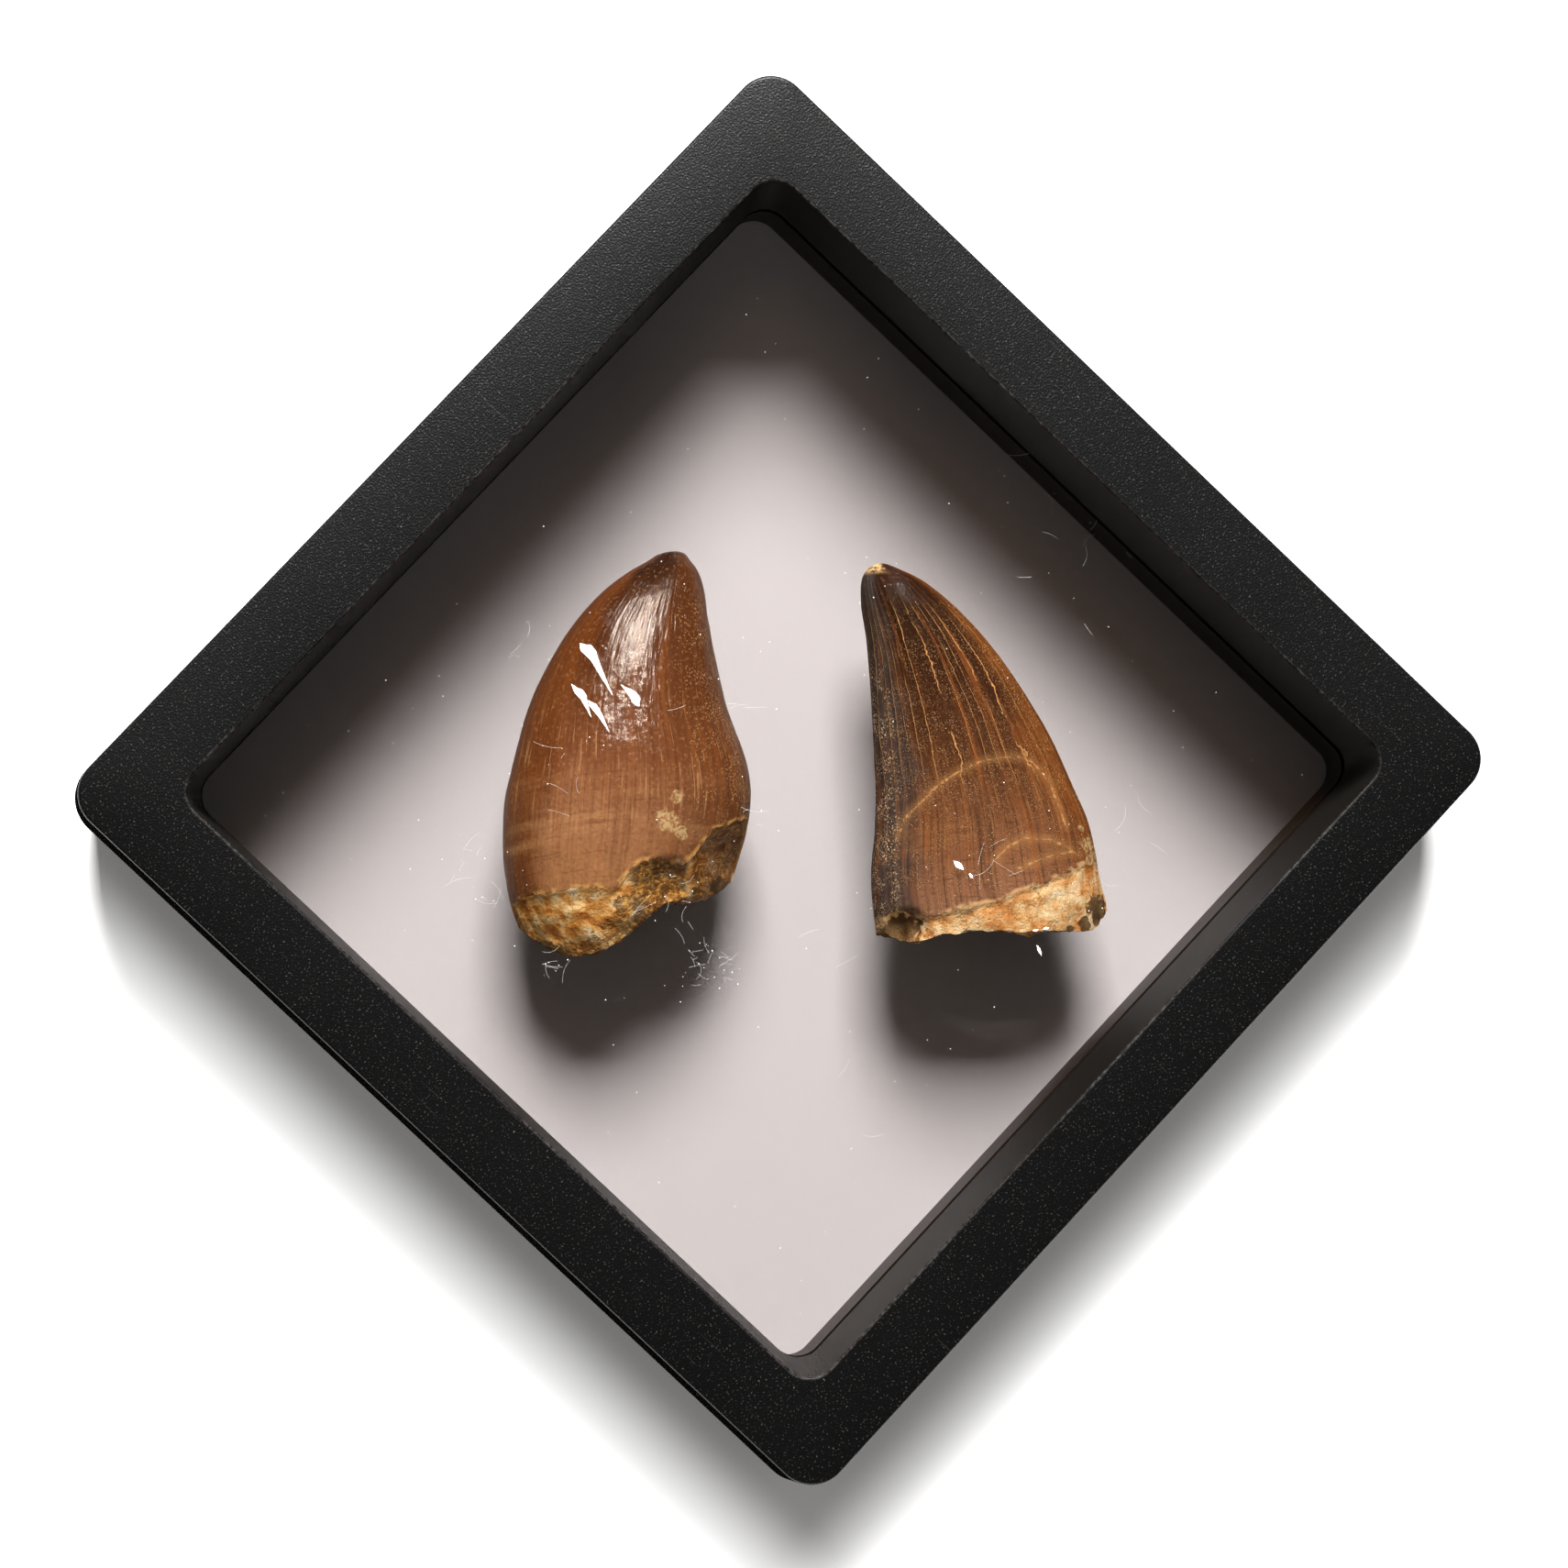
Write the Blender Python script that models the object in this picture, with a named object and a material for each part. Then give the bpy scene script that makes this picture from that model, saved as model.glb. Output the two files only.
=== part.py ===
"""Two fossil mosasaur teeth held between clear films in a small square floating frame.

Metres, +Z up. The frame lies flat on its back face, its sides along X and Y,
and the origin is the middle of that face. The teeth are laid out on the frame's
diagonals: "across" runs to the right and "up" runs towards the frame's top corner.
"""

import math

import bmesh
import bpy
import numpy as np
from mathutils import Matrix, Vector, noise

MM = 0.001

# Frame halves: the back half fills the lower half of the depth, the front half the upper
DEPTH = 20.0 * MM
SEAM_Z = DEPTH / 2
HALF_GAP = 0.15 * MM
OUTER_AT_SEAM = 44.85 * MM
OUTER_AT_FACE = 44.1 * MM
OUTER_CORNER_R = 3.3 * MM
EDGE_ROUND = 0.3 * MM
OPENING_AT_FACE = 37.33 * MM
OPENING_AT_SEAM = 36.75 * MM
OPENING_CORNER_R = 2.45 * MM
RIM_ROUND = 0.2 * MM
RECESS_HALF = 40.75 * MM
RECESS_CORNER_R = 1.0 * MM
RECESS_STEP = 0.5 * MM
CORNER_STEPS = 5
EDGE_STEPS = 3

# Films: stretched sheets that meet at the seam and bulge over the teeth
FILM_HALF = 40.0 * MM
FILM_THICK = 0.2 * MM
FILM_FROM_SEAM = 0.15 * MM
FILM_CELLS = 22
FILM_FREE_HALF = 36.4 * MM
FILM_CLEARANCE = 0.45 * MM
FILM_SAMPLES = 5
FILM_TIGHTEN_ROUNDS = 24
FILM_RELAX_STEPS = 160

# Teeth: distances in mm from the frame's middle, depths in mm down from the tip
LEFT_TOOTH = {
    "tip_up": 20.7,
    "sides": [
        (0.0, -8.72, -8.72),
        (0.25, -10.1, -8.0),
        (0.85, -11.1, -7.7),
        (1.7, -12.65, -7.1),
        (3.3, -14.85, -6.7),
        (6.5, -17.85, -6.3),
        (9.9, -20.1, -6.0),
        (14.8, -22.3, -4.78),
        (19.3, -23.65, -3.2),
        (21.0, -24.1, -3.03),
        (24.4, -24.45, -3.38),
        (28.0, -24.35, -4.3),
        (32.2, -23.7, -5.6),
        (36.5, -21.9, -7.2),
    ],
    "base": [
        (-1.0, -12.4),
        (-0.9, -13.5),
        (-0.58, -14.95),
        (-0.1, -14.1),
        (0.25, -11.84),
        (0.48, -10.3),
        (0.82, -10.2),
        (1.0, -8.8),
    ],
    "chipped": [
        (-17.0, -14.5),
        (-15.0, -10.0),
        (-13.2, -8.2),
        (-11.7, -6.5),
        (-8.8, -7.3),
        (-6.7, -4.9),
        (-5.2, -3.9),
        (-3.0, -3.4),
    ],
    "chip_depth": 2.3,
    "flatness": (0.80, 0.70),
    "bow": -1.0,
    "ridges": 0,
    "ridge_height": 0.0,
    "steps_around": 32,
    "steps_down": 30,
    "seed": 3.7,
}
RIGHT_TOOTH = {
    "tip_up": 19.02,
    "sides": [
        (0.0, 9.37, 9.37),
        (0.6, 8.1, 11.2),
        (1.5, 7.68, 12.9),
        (3.4, 7.6, 15.25),
        (6.7, 8.0, 18.35),
        (10.0, 8.23, 20.75),
        (16.6, 8.5, 24.6),
        (20.2, 8.58, 26.15),
        (23.3, 8.4, 27.4),
        (28.0, 7.93, 28.3),
        (31.0, 8.06, 28.95),
        (34.5, 8.4, 29.3),
    ],
    "base": [
        (-1.0, -13.85),
        (-0.71, -14.6),
        (-0.55, -14.15),
        (0.4, -14.05),
        (0.94, -13.06),
        (1.0, -12.3),
    ],
    "chipped": [
        (8.0, -13.0),
        (10.3, -12.1),
        (11.5, -13.2),
        (15.0, -13.0),
        (20.0, -12.6),
        (24.0, -10.8),
        (28.0, -8.6),
        (29.5, -8.2),
    ],
    "chip_depth": 0.9,
    "flatness": (0.82, 0.68),
    "bow": 1.2,
    "ridges": 11,
    "ridge_height": 0.22,
    "steps_around": 44,
    "steps_down": 23,
    "seed": 9.2,
}
TIP_ROW_CROWDING = 1.4
BASE_RINGS = 3
BASE_HOLLOW = 1.6
BREAK_ROUGHNESS = 0.35
BREAK_GRAIN = 2.6
CHIP_EDGE = 0.8
BOW_LENGTH = 22.0

BLACK_PLASTIC = ("black_moulded_plastic", (0.012, 0.012, 0.013), 0.5, 1.0)
CLEAR_FILM = ("clear_elastic_film", (0.9, 0.88, 0.85), 0.05, 0.25)
LEFT_ENAMEL = ("brown_fossil_enamel", (0.27, 0.10, 0.032), 0.3, 1.0)
RIGHT_ENAMEL = ("dark_ridged_fossil_enamel", (0.19, 0.07, 0.028), 0.35, 1.0)


def clear_scene():
    """Remove whatever the scene holds."""
    for old in list(bpy.data.objects):
        bpy.data.objects.remove(old, do_unlink=True)


def finish_of(name, colour, roughness, alpha):
    """Make a plain Principled material."""
    material = bpy.data.materials.new(name)
    material.use_nodes = True
    shader = material.node_tree.nodes["Principled BSDF"]
    shader.inputs["Base Color"].default_value = (*colour, 1.0)
    shader.inputs["Roughness"].default_value = roughness
    shader.inputs["Metallic"].default_value = 0.0
    shader.inputs["Alpha"].default_value = alpha
    return material


def add_node(name, bm, finish):
    """Turn a bmesh into a named object with its own material."""
    bmesh.ops.recalc_face_normals(bm, faces=bm.faces)
    mesh = bpy.data.meshes.new(name)
    bm.to_mesh(mesh)
    bm.free()
    mesh.shade_smooth()
    mesh.set_sharp_from_angle(angle=math.radians(35))
    mesh.materials.append(finish_of(*finish))
    node = bpy.data.objects.new(name, mesh)
    bpy.context.scene.collection.objects.link(node)
    return node


def curve_through(xs, ys):
    """Return a smooth function that passes through the given points."""
    xs = np.array(xs, float)
    ys = np.array(ys, float)
    slopes = np.gradient(ys, xs)

    def value(at):
        at = np.clip(at, xs[0], xs[-1])
        i = np.clip(np.searchsorted(xs, at) - 1, 0, len(xs) - 2)
        span = xs[i + 1] - xs[i]
        f = (at - xs[i]) / span
        start = (1 + 2 * f) * (1 - f) ** 2 * ys[i] + f * (1 - f) ** 2 * span * slopes[i]
        end = f * f * (3 - 2 * f) * ys[i + 1] + f * f * (f - 1) * span * slopes[i + 1]
        return start + end

    return value


def smooth_step(x):
    """Rise from 0 to 1 while x goes from 0 to 1."""
    x = np.clip(x, 0.0, 1.0)
    return x * x * (3 - 2 * x)


def to_row(across, up):
    """Turn diagonal places into the frame's X and Y."""
    return (across + up) / math.sqrt(2), (up - across) / math.sqrt(2)


def to_diagonal(x, y):
    """Turn X and Y into places along the diagonals."""
    return (x - y) / math.sqrt(2), (x + y) / math.sqrt(2)


class Tooth:
    """The shape of one tooth, in mm along the diagonals and up from the frame's back."""

    def __init__(self, spec):
        self.spec = spec
        depths = [math.sqrt(depth) for depth, _, _ in spec["sides"]]
        self.left_of = curve_through(depths, [left for _, left, _ in spec["sides"]])
        self.right_of = curve_through(depths, [right for _, _, right in spec["sides"]])
        self.base_of = curve_through(*zip(*spec["base"]))
        self.chip_of = curve_through(*zip(*spec["chipped"]))
        self.seam = SEAM_Z / MM

    def section(self, up):
        """Return the middle, half width, half thickness and mid height at a level."""
        depth = np.maximum(self.spec["tip_up"] - up, 0.0)
        root = np.sqrt(depth)
        left = self.left_of(root)
        right = self.right_of(root)
        half = (right - left) / 2
        near_tip, near_base = self.spec["flatness"]
        flat = near_tip + (near_base - near_tip) * smooth_step(depth / BOW_LENGTH)
        bow = self.spec["bow"] * (1 - smooth_step(depth / BOW_LENGTH))
        return (left + right) / 2, half, half * flat, self.seam + bow

    def surface(self, angle, up):
        """Return across and height of the unbroken crown at an angle round its axis."""
        middle, half, thick, height = self.section(up)
        rise = thick + self.ridge(angle)
        return middle + half * np.cos(angle), height + np.sin(angle) * rise

    def ridge(self, angle):
        """Return the height of the long ridges on the face at an angle."""
        valley = np.abs(np.sin(angle * self.spec["ridges"]))
        return self.spec["ridge_height"] * (1 - valley) * (np.sin(angle) > 0)

    def chipped(self, angle, across, up):
        """Return how far the front has broken away at a place, in mm."""
        front = smooth_step(np.sin(angle) * 2.5)
        below = (self.chip_of(across) - up) / CHIP_EDGE
        return self.spec["chip_depth"] * front * smooth_step(below)

    def top_and_bottom(self, across, up):
        """Return the highest and lowest height over a place, or the seam outside."""
        middle, half, thick, height = self.section(up)
        side = (across - middle) / np.maximum(half, 1e-6)
        reach = self.base_of(np.clip(side, -1, 1))
        inside = (np.abs(side) < 1) & (up < self.spec["tip_up"]) & (up > reach - 0.5)
        rise = thick * np.sqrt(np.clip(1 - side**2, 0, 1)) + self.spec["ridge_height"]
        top = np.where(inside, height + rise, self.seam)
        bottom = np.where(inside, height - rise, self.seam)
        return top, bottom

    def place(self, angle, share):
        """Return the row point for an angle and a share of the way down the tooth.

        Shares up to 1 run down the crown, and from 1 to 2 in across the broken base.
        """
        side = math.cos(angle)
        tip = self.spec["tip_up"]
        reach = float(self.base_of(side))
        down = min(share, 1.0) ** TIP_ROW_CROWDING
        up = tip + (reach - tip) * down
        across, height = self.surface(np.array(angle), np.array(up))
        height = height - self.chipped(np.array(angle), across, up)
        middle, _, _, centre = self.section(np.array(up))
        inward = max(share - 1.0, 0.0)
        across = float(across + (middle - across) * inward)
        height = float(height + (centre - height) * inward)
        up += (float(self.base_of(0.0)) - up) * inward + BASE_HOLLOW * smooth_step(inward * 2)
        broken = float(smooth_step((self.chip_of(across) - up) / CHIP_EDGE))
        rough = BREAK_ROUGHNESS * max(broken if math.sin(angle) > 0 else 0, inward > 0)
        where = Vector((across, up, height + self.spec["seed"])) / BREAK_GRAIN
        shake = noise.noise_vector(where) * rough
        x, y = to_row(across + shake.x, up + shake.y)
        return Vector((x, y, height + shake.z)) * MM

    def build(self, name, finish):
        """Shape a sphere's rows into the crown and the broken base."""
        around = self.spec["steps_around"]
        down = self.spec["steps_down"]
        rows = down + BASE_RINGS
        bm = bmesh.new()
        bmesh.ops.create_uvsphere(bm, u_segments=around, v_segments=rows, radius=1.0)
        for vert in bm.verts:
            row = round(math.acos(max(-1.0, min(1.0, vert.co.z))) / math.pi * rows)
            share = row / down if row <= down else 1 + (row - down) / BASE_RINGS
            vert.co = self.place(math.atan2(vert.co.y, vert.co.x), share)
        bmesh.ops.triangulate(bm, faces=bm.faces)
        return add_node(name, bm, finish)


def unit(turn):
    """Return the unit vector at an angle."""
    return Vector((math.cos(turn), math.sin(turn)))


def heading(point):
    """Return the angle of a point round the middle, from 0 to a full turn."""
    return math.atan2(point[1], point[0]) % (2 * math.pi)


def rounded_square(half, corner_r):
    """Return the points of a square with round corners, anticlockwise."""
    points = []
    centre = Vector((half - corner_r, half - corner_r))
    for corner in range(4):
        quarter_turns = Matrix.Rotation(math.radians(90) * corner, 2)
        for step in range(CORNER_STEPS + 1):
            turn = math.radians(90) * step / CORNER_STEPS
            points.append(quarter_turns @ (centre + unit(turn) * corner_r))
    return points


def frame_profile():
    """Return half widths, corner radii and heights above the seam, round the section."""
    face = DEPTH - SEAM_Z
    profile = [(OUTER_AT_SEAM, OUTER_CORNER_R + 0.3 * MM, HALF_GAP)]
    for step in range(EDGE_STEPS + 1):
        turn = math.radians(90) * step / EDGE_STEPS
        inset = EDGE_ROUND * (1 - math.cos(turn))
        height = face - EDGE_ROUND * (1 - math.sin(turn))
        profile.append((OUTER_AT_FACE - inset, OUTER_CORNER_R - inset / 2, height))
    for step in range(EDGE_STEPS):
        turn = math.radians(90) * step / (EDGE_STEPS - 1)
        inset = RIM_ROUND * (1 - math.sin(turn))
        height = face - RIM_ROUND * (1 - math.cos(turn))
        profile.append((OPENING_AT_FACE + inset, OPENING_CORNER_R + inset, height))
    ledge = HALF_GAP + RECESS_STEP
    profile.append((OPENING_AT_SEAM, OPENING_CORNER_R - 0.05 * MM, ledge))
    profile.append((RECESS_HALF, RECESS_CORNER_R, ledge))
    profile.append((RECESS_HALF, RECESS_CORNER_R, HALF_GAP))
    return profile


def build_frame_half(name, side):
    """Build one moulded half: side 1 is the front half, side -1 the back half."""
    bm = bmesh.new()
    count = 4 * (CORNER_STEPS + 1)
    bmesh.ops.create_circle(bm, segments=count, radius=1.0, cap_ends=False)
    loop = list(bm.verts)
    edges = first_edges = list(bm.edges)
    for number, (half, corner_r, height) in enumerate(frame_profile()):
        if number:
            grown = bmesh.ops.extrude_edge_only(bm, edges=edges)["geom"]
            loop = [g for g in grown if isinstance(g, bmesh.types.BMVert)]
            edges = [g for g in grown if isinstance(g, bmesh.types.BMEdge)]
            edges = [e for e in edges if all(v in loop for v in e.verts)]
        outline = sorted(rounded_square(half, corner_r), key=heading)
        for vert, (x, y) in zip(sorted(loop, key=lambda v: heading(v.co)), outline):
            vert.co = (x, y, SEAM_Z + side * height)
    bmesh.ops.bridge_loops(bm, edges=edges + first_edges)
    return add_node(name, bm, BLACK_PLASTIC)


def film_lines():
    """Return the grid lines of a film from edge to edge."""
    inner = np.linspace(-FILM_FREE_HALF, FILM_FREE_HALF, FILM_CELLS - 1)
    return np.concatenate([[-FILM_HALF], inner, [FILM_HALF]])


def relax(height, floor):
    """Let a stretched sheet settle on the lowest heights it may have."""
    for _ in range(FILM_RELAX_STEPS):
        middle = (height[:-2, 1:-1] + height[2:, 1:-1] + height[1:-1, :-2] + height[1:-1, 2:]) / 4
        height[1:-1, 1:-1] = middle
        height[:2] = height[-2:] = 0
        height[:, :2] = height[:, -2:] = 0
        height = np.maximum(height, floor)
    return height


def film_heights(teeth, side):
    """Return how far a film stands off its own plane at each grid point, in metres."""
    lines = film_lines()
    inner = np.arange(1, len(lines) - 2)
    shares = (np.arange(FILM_SAMPLES) + 0.5) / FILM_SAMPLES
    spots = (lines[inner][:, None] + shares * (lines[2] - lines[1])).ravel()
    x, y = np.meshgrid(spots, spots, indexing="ij")
    across, up = to_diagonal(x / MM, y / MM)
    need = np.zeros_like(x)
    for tooth in teeth:
        top, bottom = tooth.top_and_bottom(across, up)
        rise = (top - tooth.seam if side > 0 else tooth.seam - bottom) * MM
        need = np.maximum(need, np.where(rise > 0, rise + FILM_CLEARANCE - FILM_FROM_SEAM, 0))
    cell = np.repeat(inner, FILM_SAMPLES)
    part = np.tile(shares, len(inner))
    floor = np.zeros((len(lines), len(lines)))
    height = relax(floor.copy(), floor)
    for _ in range(FILM_TIGHTEN_ROUNDS):
        weights = []
        for i in (0, 1):
            for j in (0, 1):
                along_x = (part if i else 1 - part)[:, None]
                along_y = (part if j else 1 - part)[None, :]
                weights.append((i, j, along_x * along_y))
        over = sum(w * height[np.ix_(cell + i, cell + j)] for i, j, w in weights)
        short = np.clip(need - over, 0, None)
        norm = sum(w * w for _, _, w in weights)
        lift = np.zeros_like(floor)
        for i, j, w in weights:
            np.maximum.at(lift, np.ix_(cell + i, cell + j), short * w / norm * 0.6)
        floor = np.where(lift > 0, np.maximum(floor, height + lift), floor)
        height = relax(height, floor)
    return lines, height


def build_film(name, teeth, side):
    """Build one stretched film: side 1 in front of the teeth, side -1 behind them."""
    lines, height = film_heights(teeth, side)
    bm = bmesh.new()
    cells = len(lines) - 1
    bmesh.ops.create_grid(bm, x_segments=cells, y_segments=cells, size=1.0)
    for vert in bm.verts:
        i = round((vert.co.x + 1) / 2 * cells)
        j = round((vert.co.y + 1) / 2 * cells)
        vert.co = (lines[i], lines[j], SEAM_Z + side * (FILM_FROM_SEAM + height[i, j]))
    bmesh.ops.triangulate(bm, faces=bm.faces)
    grown = bmesh.ops.extrude_face_region(bm, geom=bm.faces)["geom"]
    fresh = [g for g in grown if isinstance(g, bmesh.types.BMVert)]
    bmesh.ops.translate(bm, verts=fresh, vec=(0, 0, side * FILM_THICK))
    return add_node(name, bm, CLEAR_FILM)


def main():
    """Build the whole display."""
    clear_scene()
    left = Tooth(LEFT_TOOTH)
    right = Tooth(RIGHT_TOOTH)
    build_frame_half("frame_back", -1)
    build_frame_half("frame_front", 1)
    left.build("tooth_left", LEFT_ENAMEL)
    right.build("tooth_right", RIGHT_ENAMEL)
    build_film("film_back", (left, right), -1)
    build_film("film_front", (left, right), 1)


main()
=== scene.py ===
"""Looks of two fossil mosasaur teeth held between clear films in a black floating frame.

Metres, +Z up, the frame lying flat on its back. The teeth are laid out on the
frame's diagonals in mm: "across" runs to the right, "up" towards the top corner.
"""

import logging
import math
from dataclasses import dataclass, field
from enum import Enum
from typing import Callable, Mapping, Sequence

import bmesh
import bpy
import numpy as np
from mathutils import Matrix, Vector, noise


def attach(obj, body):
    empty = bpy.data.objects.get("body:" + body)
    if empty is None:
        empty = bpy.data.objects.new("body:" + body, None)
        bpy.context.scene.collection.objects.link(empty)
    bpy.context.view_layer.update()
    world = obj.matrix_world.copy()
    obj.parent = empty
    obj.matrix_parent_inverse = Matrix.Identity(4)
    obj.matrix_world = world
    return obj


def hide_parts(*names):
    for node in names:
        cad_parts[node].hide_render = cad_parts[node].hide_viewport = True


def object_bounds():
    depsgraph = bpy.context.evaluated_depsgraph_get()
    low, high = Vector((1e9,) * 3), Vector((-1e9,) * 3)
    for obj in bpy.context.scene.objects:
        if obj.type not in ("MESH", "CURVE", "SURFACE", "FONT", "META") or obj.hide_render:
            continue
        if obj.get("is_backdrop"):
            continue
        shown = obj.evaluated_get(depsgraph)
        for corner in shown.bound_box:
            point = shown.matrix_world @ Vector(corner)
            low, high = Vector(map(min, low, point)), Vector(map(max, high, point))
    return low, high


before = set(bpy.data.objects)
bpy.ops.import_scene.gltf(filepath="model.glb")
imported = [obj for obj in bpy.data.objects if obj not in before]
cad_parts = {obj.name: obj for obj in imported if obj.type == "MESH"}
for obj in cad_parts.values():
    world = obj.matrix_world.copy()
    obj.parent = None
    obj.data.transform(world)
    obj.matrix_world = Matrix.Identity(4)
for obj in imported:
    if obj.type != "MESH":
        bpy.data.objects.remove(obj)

MM = 0.001
SEAM = 10.0
log = logging.getLogger("scene")

Points = Sequence[tuple[float, ...]]
Colour = tuple[float, float, float, float]
Stops = Sequence[tuple[float, str]]
Place = tuple[float, float, float]
Draws = np.random.Generator
Shape = bmesh.types.BMesh
Piece = bpy.types.Object
Material = bpy.types.Material
Socket = bpy.types.NodeSocket


def linear(code: str) -> Colour:
    """Turn an sRGB hex code into linear light.

    Args:
        code: Six hex digits after a hash.

    Returns:
        Red, green, blue and an alpha of 1.
    """
    values = [int(code[i : i + 2], 16) / 255 for i in (1, 3, 5)]
    light = [v / 12.92 if v <= 0.04045 else ((v + 0.055) / 1.055) ** 2.4 for v in values]
    return (*light, 1.0)


def smooth_step(x: np.ndarray | float) -> np.ndarray:
    """Rise from 0 to 1 while x goes from 0 to 1.

    Args:
        x: Values to ease.

    Returns:
        The eased values.
    """
    x = np.clip(x, 0.0, 1.0)
    return x * x * (3 - 2 * x)


def curve_through(xs: Sequence[float], ys: Sequence[float]) -> Callable:
    """Make a smooth function that passes through points.

    Args:
        xs: Rising places.
        ys: Values there.

    Returns:
        A function of one array.
    """
    at_x = np.array(xs, float)
    at_y = np.array(ys, float)
    slopes = np.gradient(at_y, at_x)

    def value(at: np.ndarray) -> np.ndarray:
        at = np.clip(at, at_x[0], at_x[-1])
        i = np.clip(np.searchsorted(at_x, at) - 1, 0, len(at_x) - 2)
        span = at_x[i + 1] - at_x[i]
        f = (at - at_x[i]) / span
        start = (1 + 2 * f) * (1 - f) ** 2 * at_y[i] + f * (1 - f) ** 2 * span * slopes[i]
        end = f * f * (3 - 2 * f) * at_y[i + 1] + f * f * (f - 1) * span * slopes[i + 1]
        return start + end

    return value


def distance_to(x: np.ndarray, y: np.ndarray, line: Points) -> np.ndarray:
    """Measure how far places lie from a line of straight pieces.

    Args:
        x: First coordinates.
        y: Second coordinates.
        line: The line's points.

    Returns:
        The distances.
    """
    best = np.full(x.shape, 1e9)
    for (ax, ay), (bx, by) in zip(line[:-1], line[1:]):
        dx, dy = bx - ax, by - ay
        t = np.clip(((x - ax) * dx + (y - ay) * dy) / (dx * dx + dy * dy), 0, 1)
        best = np.minimum(best, np.hypot(x - ax - t * dx, y - ay - t * dy))
    return best


def around_each(grid: np.ndarray) -> np.ndarray:
    """Average the four neighbours of every inner cell.

    Args:
        grid: Rows of values.

    Returns:
        The averages, a cell narrower on each side.
    """
    return (grid[:-2, 1:-1] + grid[2:, 1:-1] + grid[1:-1, :-2] + grid[1:-1, 2:]) / 4


def noise_at(points: np.ndarray, size: float, seed: float, octaves: int = 3) -> np.ndarray:
    """Sample smooth noise.

    Args:
        points: Rows of three coordinates.
        size: Length of one swell, in the points' unit.
        seed: Shift that gives each use its own pattern.
        octaves: Number of finer layers added.

    Returns:
        Values around zero, mostly within -1 and 1.
    """
    shift = Vector((seed, -seed * 0.7, seed * 1.3))
    values = [noise.fractal(Vector(p) / size + shift, 0.9, 2.1, octaves) for p in points]
    return np.array(values)


def to_row(across: np.ndarray, up: np.ndarray) -> tuple[np.ndarray, np.ndarray]:
    """Turn places along the diagonals into X and Y.

    Args:
        across: Places to the right.
        up: Places towards the top corner.

    Returns:
        X and Y in the same unit.
    """
    return (across + up) / math.sqrt(2), (up - across) / math.sqrt(2)


def to_diagonal(x: np.ndarray, y: np.ndarray) -> tuple[np.ndarray, np.ndarray]:
    """Turn X and Y into places along the diagonals.

    Args:
        x: Places along X.
        y: Places along Y.

    Returns:
        Across and up in the same unit.
    """
    return (x - y) / math.sqrt(2), (x + y) / math.sqrt(2)


def add(
    tree: bpy.types.NodeTree,
    kind: str,
    inputs: Mapping[str | int, object] | None = None,
    stops: Sequence[tuple[float, Colour]] = (),
    **settings: object,
) -> bpy.types.Node:
    """Add a node with its settings and links.

    Args:
        tree: Node tree to add to.
        kind: The node's type.
        inputs: A value or another node's socket for each named input.
        stops: Positions and colours, where the node is a colour ramp.
        settings: Properties of the node.

    Returns:
        The node.
    """
    node = tree.nodes.new(kind)
    for name, value in settings.items():
        setattr(node, name, value)
    for key, value in (inputs or {}).items():
        if isinstance(value, Socket):
            tree.links.new(value, node.inputs[key])
        else:
            node.inputs[key].default_value = value
    for number, (position, colour) in enumerate(stops):
        ramp = node.color_ramp.elements
        stop = ramp[number] if number < 2 else ramp.new(position)
        stop.position = position
        stop.color = colour
    return node


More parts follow.
